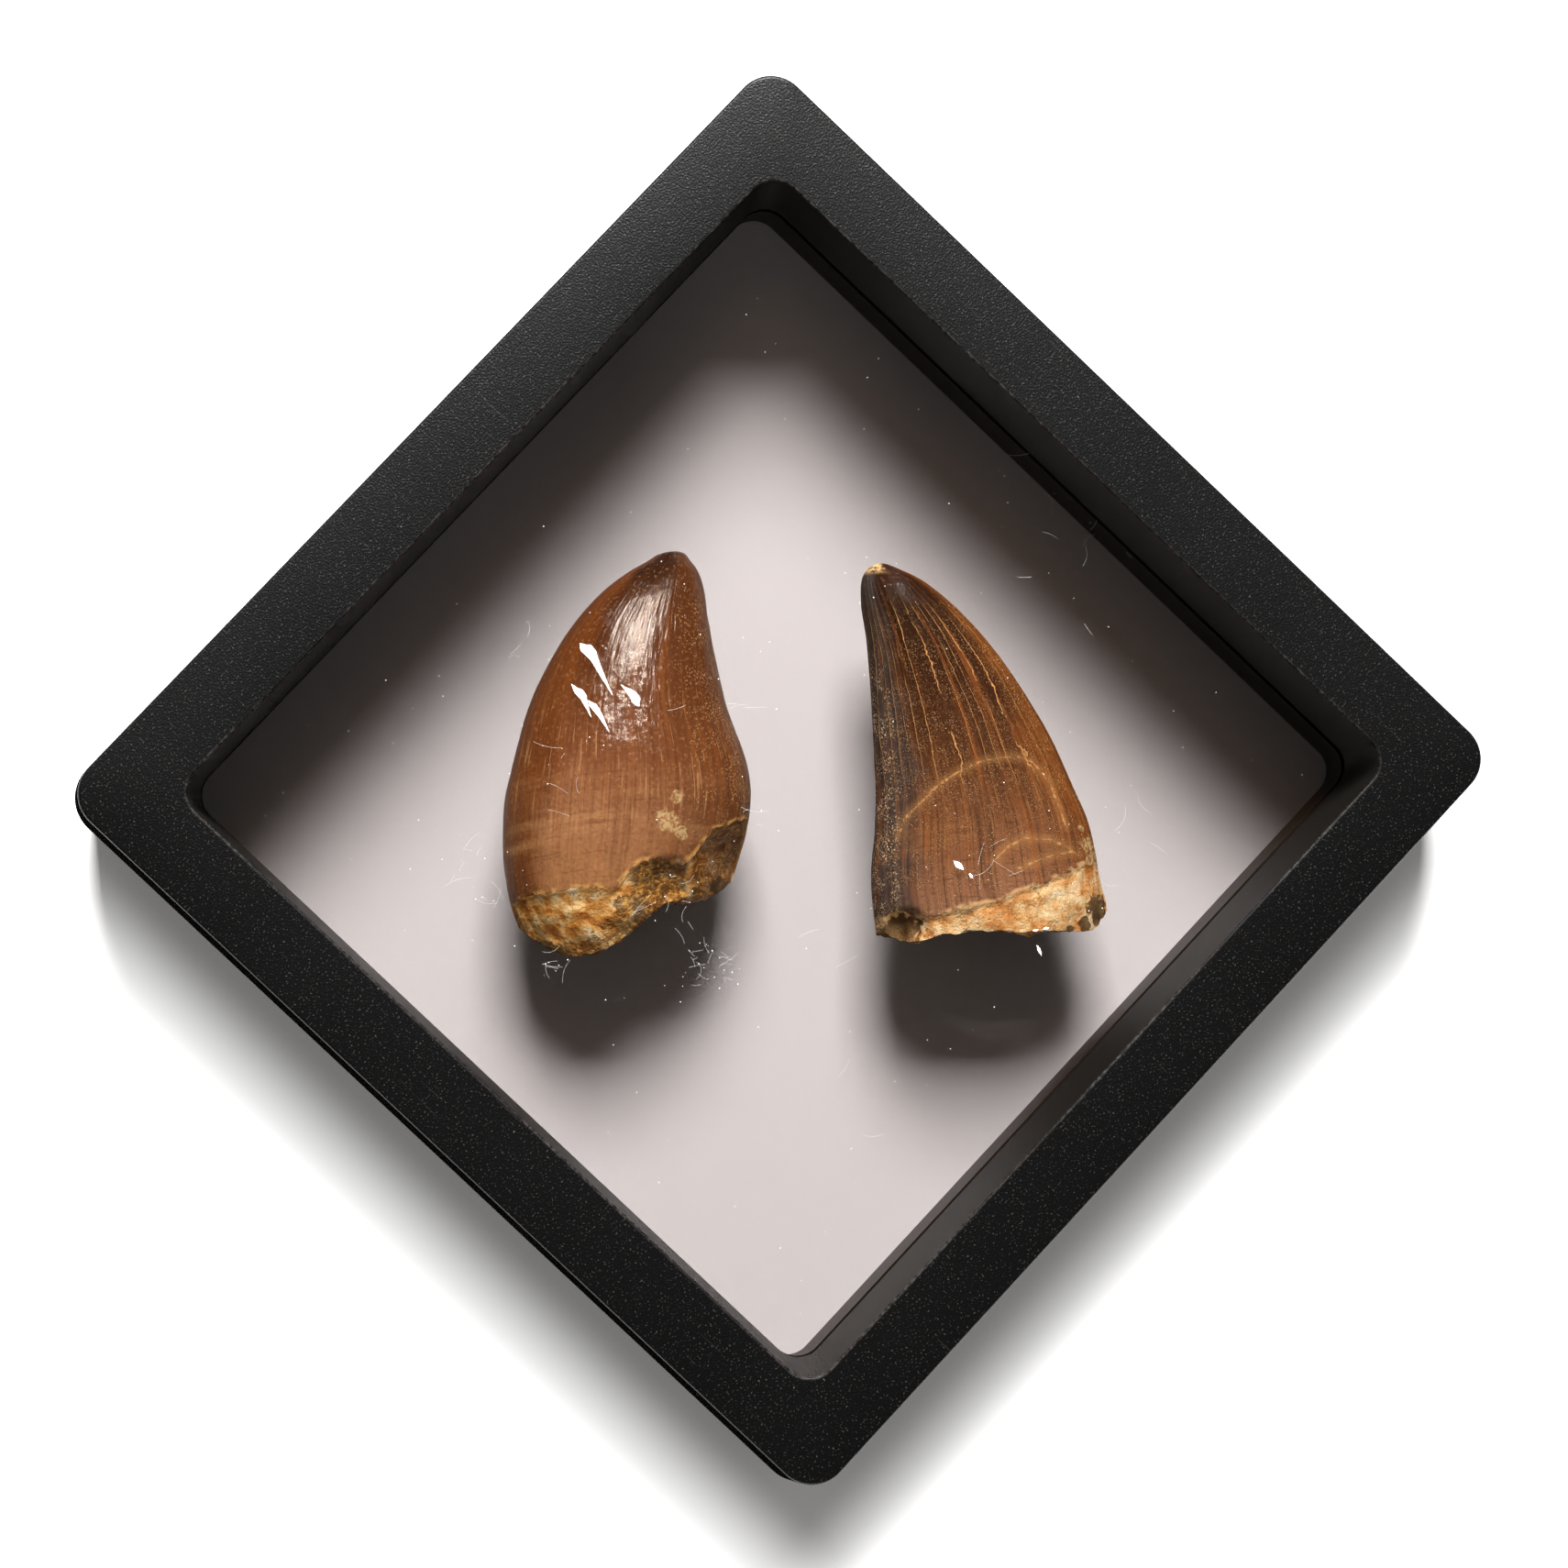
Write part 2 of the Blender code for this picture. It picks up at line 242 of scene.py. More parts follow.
class Painter:
    """Builds up one material's colour, gloss and relief from masks."""

    def __init__(self, name: str) -> None:
        """Start an empty material.

        Args:
            name: The material's name.
        """
        self.material = bpy.data.materials.new(name)
        self.material.use_nodes = True
        self.tree = self.material.node_tree
        self.tree.nodes.clear()

    def attribute(self, name: str, part: int | None = None) -> Socket:
        """Read a value that the mesh carries.

        Args:
            name: The attribute's name.
            part: Which of a vector's three numbers is wanted, or none for all.

        Returns:
            The socket.
        """
        node = add(self.tree, "ShaderNodeAttribute", attribute_name=name)
        if part is None:
            return node.outputs["Vector"]
        split = add(self.tree, "ShaderNodeSeparateXYZ", {0: node.outputs["Vector"]})
        return split.outputs[part]

    def sum(self, operation: str, *values: object) -> Socket:
        """Do one sum on numbers or sockets.

        Args:
            operation: The sum's name.
            values: What it works on.

        Returns:
            The result's socket.
        """
        inputs = dict(enumerate(values))
        return add(self.tree, "ShaderNodeMath", inputs, operation=operation).outputs[0]

    def between(self, value: Socket, low: float, high: float) -> Socket:
        """Ease a value from 0 at low to 1 at high; low may be the larger.

        Args:
            value: Socket to read.
            low: Where the mask is 0.
            high: Where the mask is 1.

        Returns:
            The mask's socket.
        """
        flip = low > high
        inputs = {"Value": value, "From Min": min(low, high), "From Max": max(low, high)}
        inputs["To Min"] = 1.0 if flip else 0.0
        inputs["To Max"] = 0.0 if flip else 1.0
        node = add(self.tree, "ShaderNodeMapRange", inputs, interpolation_type="SMOOTHSTEP")
        return node.outputs["Result"]

    def both(self, *masks: object) -> Socket:
        """Multiply masks.

        Args:
            masks: Sockets or numbers.

        Returns:
            The product's socket.
        """
        result = masks[0]
        for mask in masks[1:]:
            result = self.sum("MULTIPLY", result, mask)
        return result

    def stretch(self, vector: Socket, by: Sequence[float]) -> Socket:
        """Multiply a vector's parts.

        Args:
            vector: Socket to read.
            by: Three numbers.

        Returns:
            The product's socket.
        """
        inputs = {0: vector, 1: tuple(by)}
        return add(self.tree, "ShaderNodeVectorMath", inputs, operation="MULTIPLY").outputs[0]

    def cloud(
        self, vector: Socket, per_unit: float, detail: float = 3.0, warp: float = 0.0
    ) -> Socket:
        """Make soft noise.

        Args:
            vector: Where it is read.
            per_unit: Swells per unit of the vector.
            detail: Finer layers.
            warp: How far it is stirred.

        Returns:
            A value around a half.
        """
        inputs = {"Vector": vector, "Scale": per_unit, "Detail": detail, "Distortion": warp}
        return add(self.tree, "ShaderNodeTexNoise", inputs).outputs[0]

    def cells(self, vector: Socket, per_unit: float, feature: str = "F1") -> Socket:
        """Make a pattern of cells.

        Args:
            vector: Where it is read.
            per_unit: Cells per unit of the vector.
            feature: Which distance it gives.

        Returns:
            The distance's socket.
        """
        inputs = {"Vector": vector, "Scale": per_unit}
        node = add(self.tree, "ShaderNodeTexVoronoi", inputs, feature=feature)
        return node.outputs["Distance"]

    def spots(self, place: Socket, points: Points, ragged: Socket) -> Socket:
        """Mask round patches with ragged edges.

        Args:
            place: Where it is read, in mm.
            points: Across, up and radius of each patch.
            ragged: Noise around a half that frays the edges.

        Returns:
            The mask's socket.
        """
        whole: object = 0.0
        flat = self.stretch(place, (1.0, 1.0, 0.0))
        for across, up, radius in points:
            inputs = {0: flat, 1: (across, up, 0.0)}
            apart = add(self.tree, "ShaderNodeVectorMath", inputs, operation="DISTANCE")
            frayed = self.sum("MULTIPLY_ADD", ragged, radius * 2.0, apart.outputs["Value"])
            whole = self.sum("MAXIMUM", whole, self.between(frayed, radius * 2.1, radius * 1.8))
        return whole

    def ramp(self, value: object, stops: Stops) -> Socket:
        """Turn a value into colours.

        Args:
            value: Socket to read.
            stops: Positions and hex codes.

        Returns:
            The colour's socket.
        """
        colours = [(position, linear(code)) for position, code in stops]
        return add(self.tree, "ShaderNodeValToRGB", {0: value}, colours).outputs[0]

    def over(self, under: object, top: object, *masks: object) -> Socket:
        """Lay a colour over another where every mask is 1.

        Args:
            under: Colour below: a socket or a hex code.
            top: Colour above: a socket or a hex code.
            masks: Sockets or numbers, multiplied together.

        Returns:
            The mixed colour's socket.
        """
        under, top = (linear(tint) if isinstance(tint, str) else tint for tint in (under, top))
        inputs = {0: self.both(*masks), 6: under, 7: top}
        return add(self.tree, "ShaderNodeMix", inputs, data_type="RGBA").outputs[2]

    def relief(self, height: object, depth: float, under: Socket | None = None) -> Socket:
        """Turn a height pattern into a bumped normal.

        Args:
            height: Pattern from 0 to 1.
            depth: What 1 stands for, in metres.
            under: A coarser relief it sits on.

        Returns:
            The normal's socket.
        """
        inputs = {"Height": height, "Distance": depth, "Strength": 1.0}
        if under is not None:
            inputs["Normal"] = under
        return add(self.tree, "ShaderNodeBump", inputs).outputs[0]

    def finish(self, **inputs: object) -> Material:
        """End with a Principled shader.

        Args:
            inputs: Its inputs, with underscores for spaces.

        Returns:
            The material.
        """
        named = {key.replace("_", " "): value for key, value in inputs.items()}
        shader = add(self.tree, "ShaderNodeBsdfPrincipled", named)
        add(self.tree, "ShaderNodeOutputMaterial", {0: shader.outputs[0]})
        return self.material


class Slot(Enum):
    """Material slots of the record."""

    FRAME = "frame_plastic"
    FILM = "clear_film"
    BROWN = "brown_enamel"
    DARK = "dark_enamel"


def add_piece(name: str, bm: Shape, material: Material, sharp_degrees: float) -> Piece:
    """Turn a bmesh into an object with its finish.

    Args:
        name: The object's name.
        bm: Geometry, freed here.
        material: Its finish.
        sharp_degrees: Edges that turn further than this stay crisp.

    Returns:
        The object.
    """
    bmesh.ops.recalc_face_normals(bm, faces=bm.faces)
    mesh = bpy.data.meshes.new(name)
    bm.to_mesh(mesh)
    bm.free()
    mesh.shade_smooth()
    mesh.set_sharp_from_angle(angle=math.radians(sharp_degrees))
    mesh.materials.append(material)
    piece = bpy.data.objects.new(name, mesh)
    bpy.context.scene.collection.objects.link(piece)
    return piece


def carry(piece: Piece, name: str, values: np.ndarray) -> None:
    """Store numbers on a piece's points.

    Args:
        piece: Object whose mesh carries them.
        name: The attribute's name.
        values: One row of one or three numbers per point.
    """
    kind, key = ("FLOAT_VECTOR", "vector") if values.ndim == 2 else ("FLOAT", "value")
    attribute = piece.data.attributes.new(name, kind, "POINT")
    attribute.data.foreach_set(key, values.astype(np.float32).ravel())


# Finishes


@dataclass(frozen=True)
class PlasticFinish:
    """Black moulded ABS: spark-eroded grain on the faces, plain walls inside the window.

    The mould's eroded steel leaves pits about 0.2 mm apart that catch the lamp as fine
    sparkles; the pits also get a lighter colour, a painted sparkle. The walls that slide
    off the core come out smoother and a little greyer. The knife-thin inner rims are
    rubbed, and a painted highlight makes them lighter, in broken lines.
    """

    name: str = "black_abs_spark_grain"
    colour: str = "#030303"
    wall: str = "#100e0c"
    worn: str = "#3b3733"
    painted_sparkle: str = "#494641"
    dust: str = "#7a7670"
    scratch: str = "#34312e"
    grain_mm: float = 0.18
    dust_per_m: float = 1900.0
    chip_per_m: float = 2600.0
    patch_per_m: float = 60.0
    scratch_per_m: Place = (3600.0, 160.0, 400.0)
    pit_depth: float = 0.00003
    roughness: float = 0.42
    shine: float = 0.135

    def build(self) -> Material:
        """Make the material.

        Returns:
            The material.
        """
        p = Painter(self.name)
        place = add(p.tree, "ShaderNodeTexCoord").outputs["Object"]
        grained, worn = p.attribute("zone", 0), p.attribute("zone", 1)
        pits = p.cloud(place, 1000 / self.grain_mm, 1.0)
        patch = p.cloud(place, self.patch_per_m, 4.0)
        chips = p.between(p.cloud(place, self.chip_per_m, 3.0), 0.4, 0.65)
        colour = p.over(self.wall, self.colour, grained)
        # Painted sparkle: the faces' pits take a lighter colour, a painted highlight
        colour = p.over(colour, self.painted_sparkle, p.between(pits, 0.63, 0.76), grained, 0.5)
        dust = p.between(p.cloud(place, self.dust_per_m, 1.0), 0.79, 0.84)
        colour = p.over(colour, self.dust, dust, 0.4)
        # Rubbed inner rims: wear together with a painted highlight, lighter in broken lines
        colour = p.over(colour, self.worn, worn, chips, p.between(patch, 0.35, 0.6), 0.6)
        scratch = p.cloud(p.stretch(place, self.scratch_per_m), 1.0, 1.0, 0.6)
        scratches = p.between(scratch, 0.76, 0.79)
        colour = p.over(colour, self.scratch, scratches, 0.25)
        rough = p.sum("MULTIPLY_ADD", grained, -0.1, self.roughness)
        rough = p.sum("MULTIPLY_ADD", patch, 0.08, rough)
        normal = p.relief(p.both(pits, grained), self.pit_depth)
        return p.finish(
            Base_Color=colour, Roughness=rough, Normal=normal, Specular_IOR_Level=self.shine
        )


@dataclass(frozen=True)
class Speckle:
    """One drift of small specks; sides run from -1 to 1 and falls are mm below the tip."""

    colour: str
    side: tuple[float, float]
    fall: tuple[float, float]
    per_mm: float
    share: float


@dataclass(frozen=True)
class CrownReads:
    """What a crown's mesh tells its finish: places in mm, sides from -1 to 1."""

    place: Socket
    grain: Socket
    across: Socket
    side: Socket
    fall: Socket
    front: Socket
    broken: Socket
    arc: Socket
    crest: Socket
    grit: Socket
    ragged: Socket

    @classmethod
    def of(cls, p: Painter) -> "CrownReads":
        """Read them in a material, with two clouds that its marks share.

        Args:
            p: The material's painter.

        Returns:
            The sockets.
        """
        place = p.attribute("place")
        site = [p.attribute("site", part) for part in range(3)]
        marks = [p.attribute("marks", part) for part in range(3)]
        clouds = (p.cloud(place, 3.2, 4.0), p.cloud(place, 1.6, 5.0))
        return cls(place, p.attribute("grain"), p.attribute("place", 0), *site, *marks, *clouds)


@dataclass(frozen=True)
class EnamelFinish:
    """Fossil enamel and the broken dentine below it.

    Enamel fossilised in phosphate rock turns brown and stays glossy; its growth leaves
    long fine grooves, bands and healed cracks filled with paler mineral. Where the
    crown broke, dentine shows matt, mottled cream to orange, with dark pores. Clouds
    and cells are given per mm, and along the grain they are stretched down the crown.
    """

    name: str
    down: Stops
    left_edge: str
    right_edge: str
    edge_reach: float
    groove: str
    groove_stop: float
    groove_depth: float
    band: str
    band_start: float
    crack: str
    crack_share: float
    crack_stop: float
    stripe: str
    stripe_share: float
    speckles: tuple[Speckle, ...]
    pale_chips: Points
    dark_spots_and_edge_shade: Points
    dark_spot_colour: str
    broken_light: str
    broken_mid: str
    broken_dark: str
    broken_relief: float
    gloss: float
    shine: float
    tip_wear: float = 0.0
    gold_share: float = 0.0
    cream: Points = ()
    sandy: Points = ()
    patch: tuple[float, float] | None = None
    block: str = "#5c3514"
    block_from: float | None = None
    gold: str = "#bd9152"
    pale_chip: str = "#d3b780"
    lustre: str = "#fff4e2"
    palest: str = "#f0d8aa"
    pore: str = "#5a3818"
    rust: str = "#b86a28"
    seam: str = "#5a3a1c"
    dark_sand: str = "#6a3d18"
    pale_sand: str = "#e8bd80"
    creams: Stops = ((0.36, "#b0651f"), (0.47, "#cf8a3c"), (0.6, "#e8bd78"))
    golds: Stops = ((0.38, "#241306"), (0.52, "#6e4519"), (0.67, "#c6953f"))
    pit_depth: float = 0.00005

    def tone(self, p: Painter, at: CrownReads) -> Socket:
        """Colour the enamel from tip to base, with its edges, growth bands and stripes.

        Args:
            p: The material's painter.
            at: What the mesh tells.

        Returns:
            The colour.
        """
        wander = p.cloud(at.place, 0.18, 4.0)
        fall_soft = p.sum("MULTIPLY_ADD", wander, 7.0, at.fall)
        colour = p.ramp(p.sum("DIVIDE", p.sum("SUBTRACT", fall_soft, 3.5), 40.0), self.down)
        leftish = p.sum("MULTIPLY_ADD", wander, -0.5, at.side)
        colour = p.over(colour, self.left_edge, p.between(leftish, -0.8, -1.08), 0.9)
        rightish = p.sum("MULTIPLY_ADD", wander, 0.6, at.side)
        colour = p.over(colour, self.right_edge, p.between(rightish, self.edge_reach, 1.25), 0.85)

        # Growth bands cross the crown low down, bowed a little upwards
        bow = p.sum("POWER", p.sum("ABSOLUTE", at.side), 2.0)
        bowed = p.sum("MULTIPLY_ADD", bow, -1.6, at.fall)
        inputs = {0: p.both(at.side, 0.8), 1: bowed, 2: at.front}
        level = add(p.tree, "ShaderNodeCombineXYZ", inputs).outputs[0]
        bands = p.cloud(level, 0.5, 4.0, 0.5)
        low = p.between(at.fall, self.band_start, self.band_start + 6)
        colour = p.over(colour, self.band, p.between(bands, 0.5, 0.75), low, 0.35)
        deep = p.between(at.fall, self.band_start + 7, self.band_start + 11)
        golden = p.both(p.between(bands, 0.46, 0.7), deep, p.between(at.side, 0.0, -0.6))
        colour = p.over(colour, self.gold, golden, self.gold_share)
        lines = p.between(p.cloud(p.stretch(level, (1.5, 1.0, 1.0)), 3.6, 3.0, 0.3), 0.58, 0.7)
        colour = p.over(colour, self.groove, lines, p.between(at.fall, 9, 16), 0.35)

        # Stripes and fine grooves fan down from the tip
        stripes = p.cloud(p.stretch(at.grain, (1.7, 0.07, 0.5)), 1.0, 4.0)
        pale = p.both(p.between(stripes, 0.5, 0.68), p.between(at.fall, 2, 8))
        colour = p.over(colour, self.stripe, pale, self.stripe_share)
        colour = p.over(colour, self.groove, p.between(stripes, 0.48, 0.3), self.stripe_share)
        grooves = p.cloud(p.stretch(at.grain, (6.0, 0.1, 2.0)), 1.0, 5.0)
        low_down = p.between(at.fall, self.groove_stop + 6, self.groove_stop - 4)
        colour = p.over(colour, self.groove, p.between(grooves, 0.47, 0.7), low_down, 0.55)
        wear = p.between(p.cloud(p.stretch(at.grain, (4.6, 0.2, 1.0)), 1.0, 3.0), 0.6, 0.68)
        colour = p.over(colour, self.band, wear, low_down, p.between(at.fall, 8, 20), 0.4)
        colour = p.over(colour, self.groove, p.between(at.grit, 0.5, 0.75), 0.35)
        return p.over(colour, self.band, p.between(at.grit, 0.46, 0.25), 0.25)

    def fill_cracks(self, p: Painter, at: CrownReads, colour: Socket) -> tuple[Socket, Socket]:
        """Fill the cracks along the ridges, and the bowed scars, with pale mineral.

        Args:
            p: The material's painter.
            at: What the mesh tells.
            colour: The enamel's colour.

        Returns:
            The new colour and the cracks' mask.
        """
        wiggle = p.sum("SUBTRACT", p.cloud(at.place, 2.2, 2.0), 0.5)
        line = p.sum("ABSOLUTE", p.sum("MULTIPLY_ADD", wiggle, 0.22, at.crest))
        gaps = p.between(p.cloud(p.stretch(at.grain, (0.6, 0.22, 1.0)), 1.0, 3.0), 0.38, 0.5)
        stop = p.between(at.fall, self.crack_stop + 6, self.crack_stop)
        reach = p.both(p.between(at.fall, 3.0, 6.0), stop)
        cracks = p.both(p.between(line, 0.042, 0.014), gaps, reach, self.crack_share)
        colour = p.over(colour, self.crack, cracks)
        stir = p.sum("SUBTRACT", p.cloud(at.place, 1.6, 3.0), 0.5)
        near = p.sum("ABSOLUTE", p.sum("MULTIPLY_ADD", stir, 0.4, at.arc))
        sharp = p.both(p.between(near, 0.14, 0.03), p.between(at.grit, 0.35, 0.55), 0.8)
        scars = p.sum("MAXIMUM", sharp, p.both(p.between(at.arc, 0.8, 0.0), 0.16))
        return p.over(colour, self.crack, scars, self.crack_share), cracks

    def speckle(self, p: Painter, at: CrownReads, colour: Socket) -> tuple[Socket, Socket]:
        """Add the specks near the cutting edges, the worn tip and the pale chips.

        Args:
            p: The material's painter.
            at: What the mesh tells.
            colour: The enamel's colour.

        Returns:
            The new colour and the specks' mask.
        """
        clusters = p.between(p.cloud(at.place, 0.6, 4.0), 0.36, 0.58)
        specks: object = 0.0
        for drift in self.speckles:
            grains = p.between(p.cells(at.place, drift.per_mm), 0.36, 0.2)
            start, stop = drift.fall
            tall = p.both(p.between(at.fall, start, start + 4), p.between(at.fall, stop, stop - 6))
            wide = p.between(at.side, *drift.side)
            here = p.both(grains, p.between(at.grit, 0.3, 0.5), clusters, wide, tall)
            colour = p.over(colour, drift.colour, here, drift.share)
            specks = p.sum("MAXIMUM", specks, here)
        tip = p.both(p.between(at.fall, 1.2, 0.3), p.between(at.side, 0.2, -0.4))
        worn = p.both(tip, p.between(at.grit, 0.38, 0.52))
        colour = p.over(colour, self.broken_light, worn, self.tip_wear)
        chips = p.both(p.spots(at.place, self.pale_chips, at.ragged), p.between(at.grit, 0.35, 0.6))
        return p.over(colour, self.pale_chip, chips, 0.55), specks

    def dentine(self, p: Painter, at: CrownReads) -> tuple[Socket, ...]:
        """Colour the broken base: pores, rust, cream, seams, sand, dark spots with some painted
        edge shade, and a block.

        Args:
            p: The material's painter.
            at: What the mesh tells.

        Returns:
            The colour, and the masks of its pores, its smoother block and its sand.
        """
        spots = [p.spots(at.place, points, at.ragged) for points in (self.cream, self.sandy)]
        mottle = p.cloud(at.place, 0.8, 9.0, 0.4)
        stops = [(0.3, self.broken_dark), (0.41, self.broken_mid), (0.53, self.broken_light)]
        colour = p.ramp(mottle, [*stops, (0.68, self.palest)])
        pores = p.both(p.between(p.cells(at.place, 2.6), 0.2, 0.08), p.between(mottle, 0.55, 0.42))
        colour = p.over(colour, self.pore, pores, 0.55)
        rusty = p.between(p.cloud(at.place, 0.35, 4.0, 0.6), 0.52, 0.66)
        colour = p.over(colour, self.rust, rusty, 0.5)
        colour = p.over(colour, p.ramp(mottle, self.creams), spots[0], 0.7)
        stir = add(p.tree, "ShaderNodeTexNoise", {"Vector": at.place, "Scale": 0.9})
        inputs = {0: stir.outputs["Color"], 1: (1.8, 1.8, 1.8), 2: at.place}
        bent = add(p.tree, "ShaderNodeVectorMath", inputs, operation="MULTIPLY_ADD").outputs[0]
        seams = p.between(p.cells(bent, 0.3, "DISTANCE_TO_EDGE"), 0.018, 0.005)
        colour = p.over(colour, self.seam, seams, 0.45)
        sand = p.cloud(at.place, 5.5, 3.0)
        colour = p.over(colour, self.dark_sand, p.between(sand, 0.56, 0.7), 0.4)
        colour = p.over(colour, self.pale_sand, p.between(sand, 0.42, 0.3), 0.3)

        in_patch: object = 0.0
        if self.patch:
            start, stop = self.patch
            in_patch = p.both(
                p.between(at.across, start - 0.5, start + 0.4),
                p.between(at.across, stop + 0.4, stop - 0.4),
            )
        in_patch = p.sum("MAXIMUM", in_patch, p.both(spots[1], 0.8))
        gold = p.cloud(at.place, 2.4, 5.0, 0.5)
        colour = p.over(colour, p.ramp(gold, self.golds), in_patch, 0.85)

        in_block: object = 0.0
        if self.block_from is not None:
            right = p.between(at.across, self.block_from - 0.4, self.block_from + 0.4)
            in_block = p.both(right, at.front)
        flow = p.cloud(p.stretch(at.place, (0.35, 1.1, 0.9)), 0.9, 3.0, 1.6)
        streaks = [(0.3, "#3a1f0c"), (0.46, self.block), (0.52, "#a87a40"), (0.56, self.block)]
        colour = p.over(colour, p.ramp(flow, [*streaks, (0.7, "#502b0e")]), in_block, 0.9)
        # Dark spots: dark chipped patches, and where listed along a base's lower edge, painted
        # shade
        dark_spot_ramp = [(0.2, "#6e583a"), (0.5, self.dark_spot_colour), (0.8, "#2a1c10")]
        dark = p.spots(at.place, self.dark_spots_and_edge_shade, at.ragged)
        colour = p.over(colour, p.ramp(p.cells(at.place, 0.7), dark_spot_ramp), dark, 0.9)
        return colour, pores, in_block, p.both(in_patch, gold)

    def build(self) -> Material:
        """Make the material.

        Returns:
            The material.
        """
        p = Painter(self.name)
        at = CrownReads.of(p)
        colour, cracks = self.fill_cracks(p, at, self.tone(p, at))
        colour, specks = self.speckle(p, at, colour)
        dentine, pores, in_block, sand = self.dentine(p, at)
        off = p.between(at.broken, 0.06, -0.06)
        chipped = p.between(p.cloud(at.place, 1.1, 3.0), 0.42, 0.6)
        margin = p.between(at.broken, 0.5, 0.05)
        colour = p.over(colour, self.broken_light, margin, chipped, 0.6)
        colour = p.over(colour, dentine, off)

        matt = p.both(off, p.sum("SUBTRACT", 1.0, p.both(in_block, 0.55)))
        smears, edge = p.cloud(at.grain, 0.8, 4.0), p.between(p.sum("ABSOLUTE", at.side), 0.7, 0.98)
        rough: object = self.gloss
        for mask, share in ((smears, 0.1), (matt, 0.55), (specks, 0.25), (edge, 0.4)):
            rough = p.sum("MULTIPLY_ADD", mask, share, rough)
        crumbs = p.sum("MULTIPLY_ADD", sand, 1.6, p.cloud(at.place, 2.6, 8.0))
        normal = p.relief(p.both(crumbs, matt), self.broken_relief)
        ripples = p.cloud(p.stretch(at.grain, (2.2, 0.3, 1.0)), 1.0, 5.0)
        dents = p.both(p.cloud(at.place, 0.9, 5.0), 0.7)
        surface = p.both(p.sum("ADD", ripples, dents), p.sum("SUBTRACT", 1.0, off))
        normal = p.relief(surface, self.groove_depth, normal)
        sunk = p.sum("MAXIMUM", p.sum("MAXIMUM", cracks, specks), p.both(pores, off))
        normal = p.relief(p.sum("SUBTRACT", 1.0, sunk), self.pit_depth, normal)
        inputs = {"Base_Color": colour, "Roughness": rough, "Normal": normal}
        tint = linear(self.lustre)
        return p.finish(Specular_IOR_Level=self.shine, Specular_Tint=tint, **inputs)


@dataclass(frozen=True)
class FilmFinish:
    """Clear stretched elastomer film, slightly tea-brown.

    Light goes straight through with a little lost each time; each face mirrors a little,
    more at a slant, and small folds give crisp white glints. A faint brown matt veil stands
    for haze from fine scuffs and for a painted reflection of the warm room; it shows over
    the dark parts.
    """

    name: str = "clear_elastic_film"
    tint: str = "#efeeee"
    scuff_and_room_reflection: str = "#9a6d48"
    scuff_and_reflection_share: float = 0.006
    gloss_share: float = 0.006
    roughness: float = 0.04
    ior: float = 1.45
    ripple_per_m: float = 700.0
    ripple_depth: float = 0.00001

    def build(self) -> Material:
        """Make the material.

        Returns:
            The material.
        """
        p = Painter(self.name)
        place = add(p.tree, "ShaderNodeTexCoord").outputs["Object"]
        clear = add(p.tree, "ShaderNodeBsdfTransparent", {0: linear(self.tint)}).outputs[0]
        # Brown matt veil: scuff haze and a painted reflection of the warm room
        scuff_and_reflection_veil = add(p.tree, "ShaderNodeBsdfDiffuse", {0: linear(self.scuff_and_room_reflection)}).outputs[0]
        inputs = {0: self.scuff_and_reflection_share, 1: clear, 2: scuff_and_reflection_veil}
        body = add(p.tree, "ShaderNodeMixShader", inputs).outputs[0]
        ripple = p.relief(p.cloud(place, self.ripple_per_m, 2.0), self.ripple_depth)
        inputs = {"Color": linear("#ffffff"), "Roughness": self.roughness, "Normal": ripple}
        mirror = add(p.tree, "ShaderNodeBsdfGlossy", inputs).outputs[0]
        facing = add(p.tree, "ShaderNodeFresnel", {"IOR": self.ior}).outputs[0]
        inputs = {0: p.both(facing, self.gloss_share), 1: body, 2: mirror}
        whole = add(p.tree, "ShaderNodeMixShader", inputs).outputs[0]
        add(p.tree, "ShaderNodeOutputMaterial", {0: whole})
        return p.material


@dataclass(frozen=True)
class LintFinish:
    """Textile fibres and dust on the film: matt, near white, a little see-through."""

    name: str = "white_lint"
    colour: str = "#efebe4"

    def build(self) -> Material:
        """Make the material.

        Returns:
            The material.
        """
        return Painter(self.name).finish(Base_Color=linear(self.colour), Roughness=0.6, Alpha=0.85)


@dataclass(frozen=True)
class FloorFinish:
    """Plain white card with a painted glow that lifts it to white a little way out from the frame.
    """

    name: str = "white_card"
    colour: str = "#f2f0ee"
    painted_glow: float = 0.8
    glow_centre: tuple[float, float] = (0.0004, -0.0017)
    glow_from: float = 0.0462
    glow_to: float = 0.0560

    def build(self) -> Material:
        """Make the material.

        Returns:
            The material.
        """
        p = Painter(self.name)
        spot = add(p.tree, "ShaderNodeTexCoord").outputs["Object"]
        steps = (
            ("SUBTRACT", (*self.glow_centre, 0.0)),
            ("ABSOLUTE", (0.0, 0.0, 0.0)),
            ("SUBTRACT", (self.glow_from, self.glow_from, 1.0)),
            ("MAXIMUM", (0.0, 0.0, 0.0)),
        )
        for operation, by in steps:
            node = add(p.tree, "ShaderNodeVectorMath", {0: spot, 1: by}, operation=operation)
            spot = node.outputs[0]
        away = add(p.tree, "ShaderNodeVectorMath", {0: spot}, operation="LENGTH").outputs["Value"]
        # Painted glow: the card glows more the further it lies from the frame, lifting the frame's
        # shadow
        painted_glow = p.both(p.between(away, 0.0, self.glow_to - self.glow_from), self.painted_glow)
        card = {"Base_Color": linear(self.colour), "Roughness": 0.9}
        return p.finish(Emission_Color=linear("#ffffff"), Emission_Strength=painted_glow, **card)


# Frame


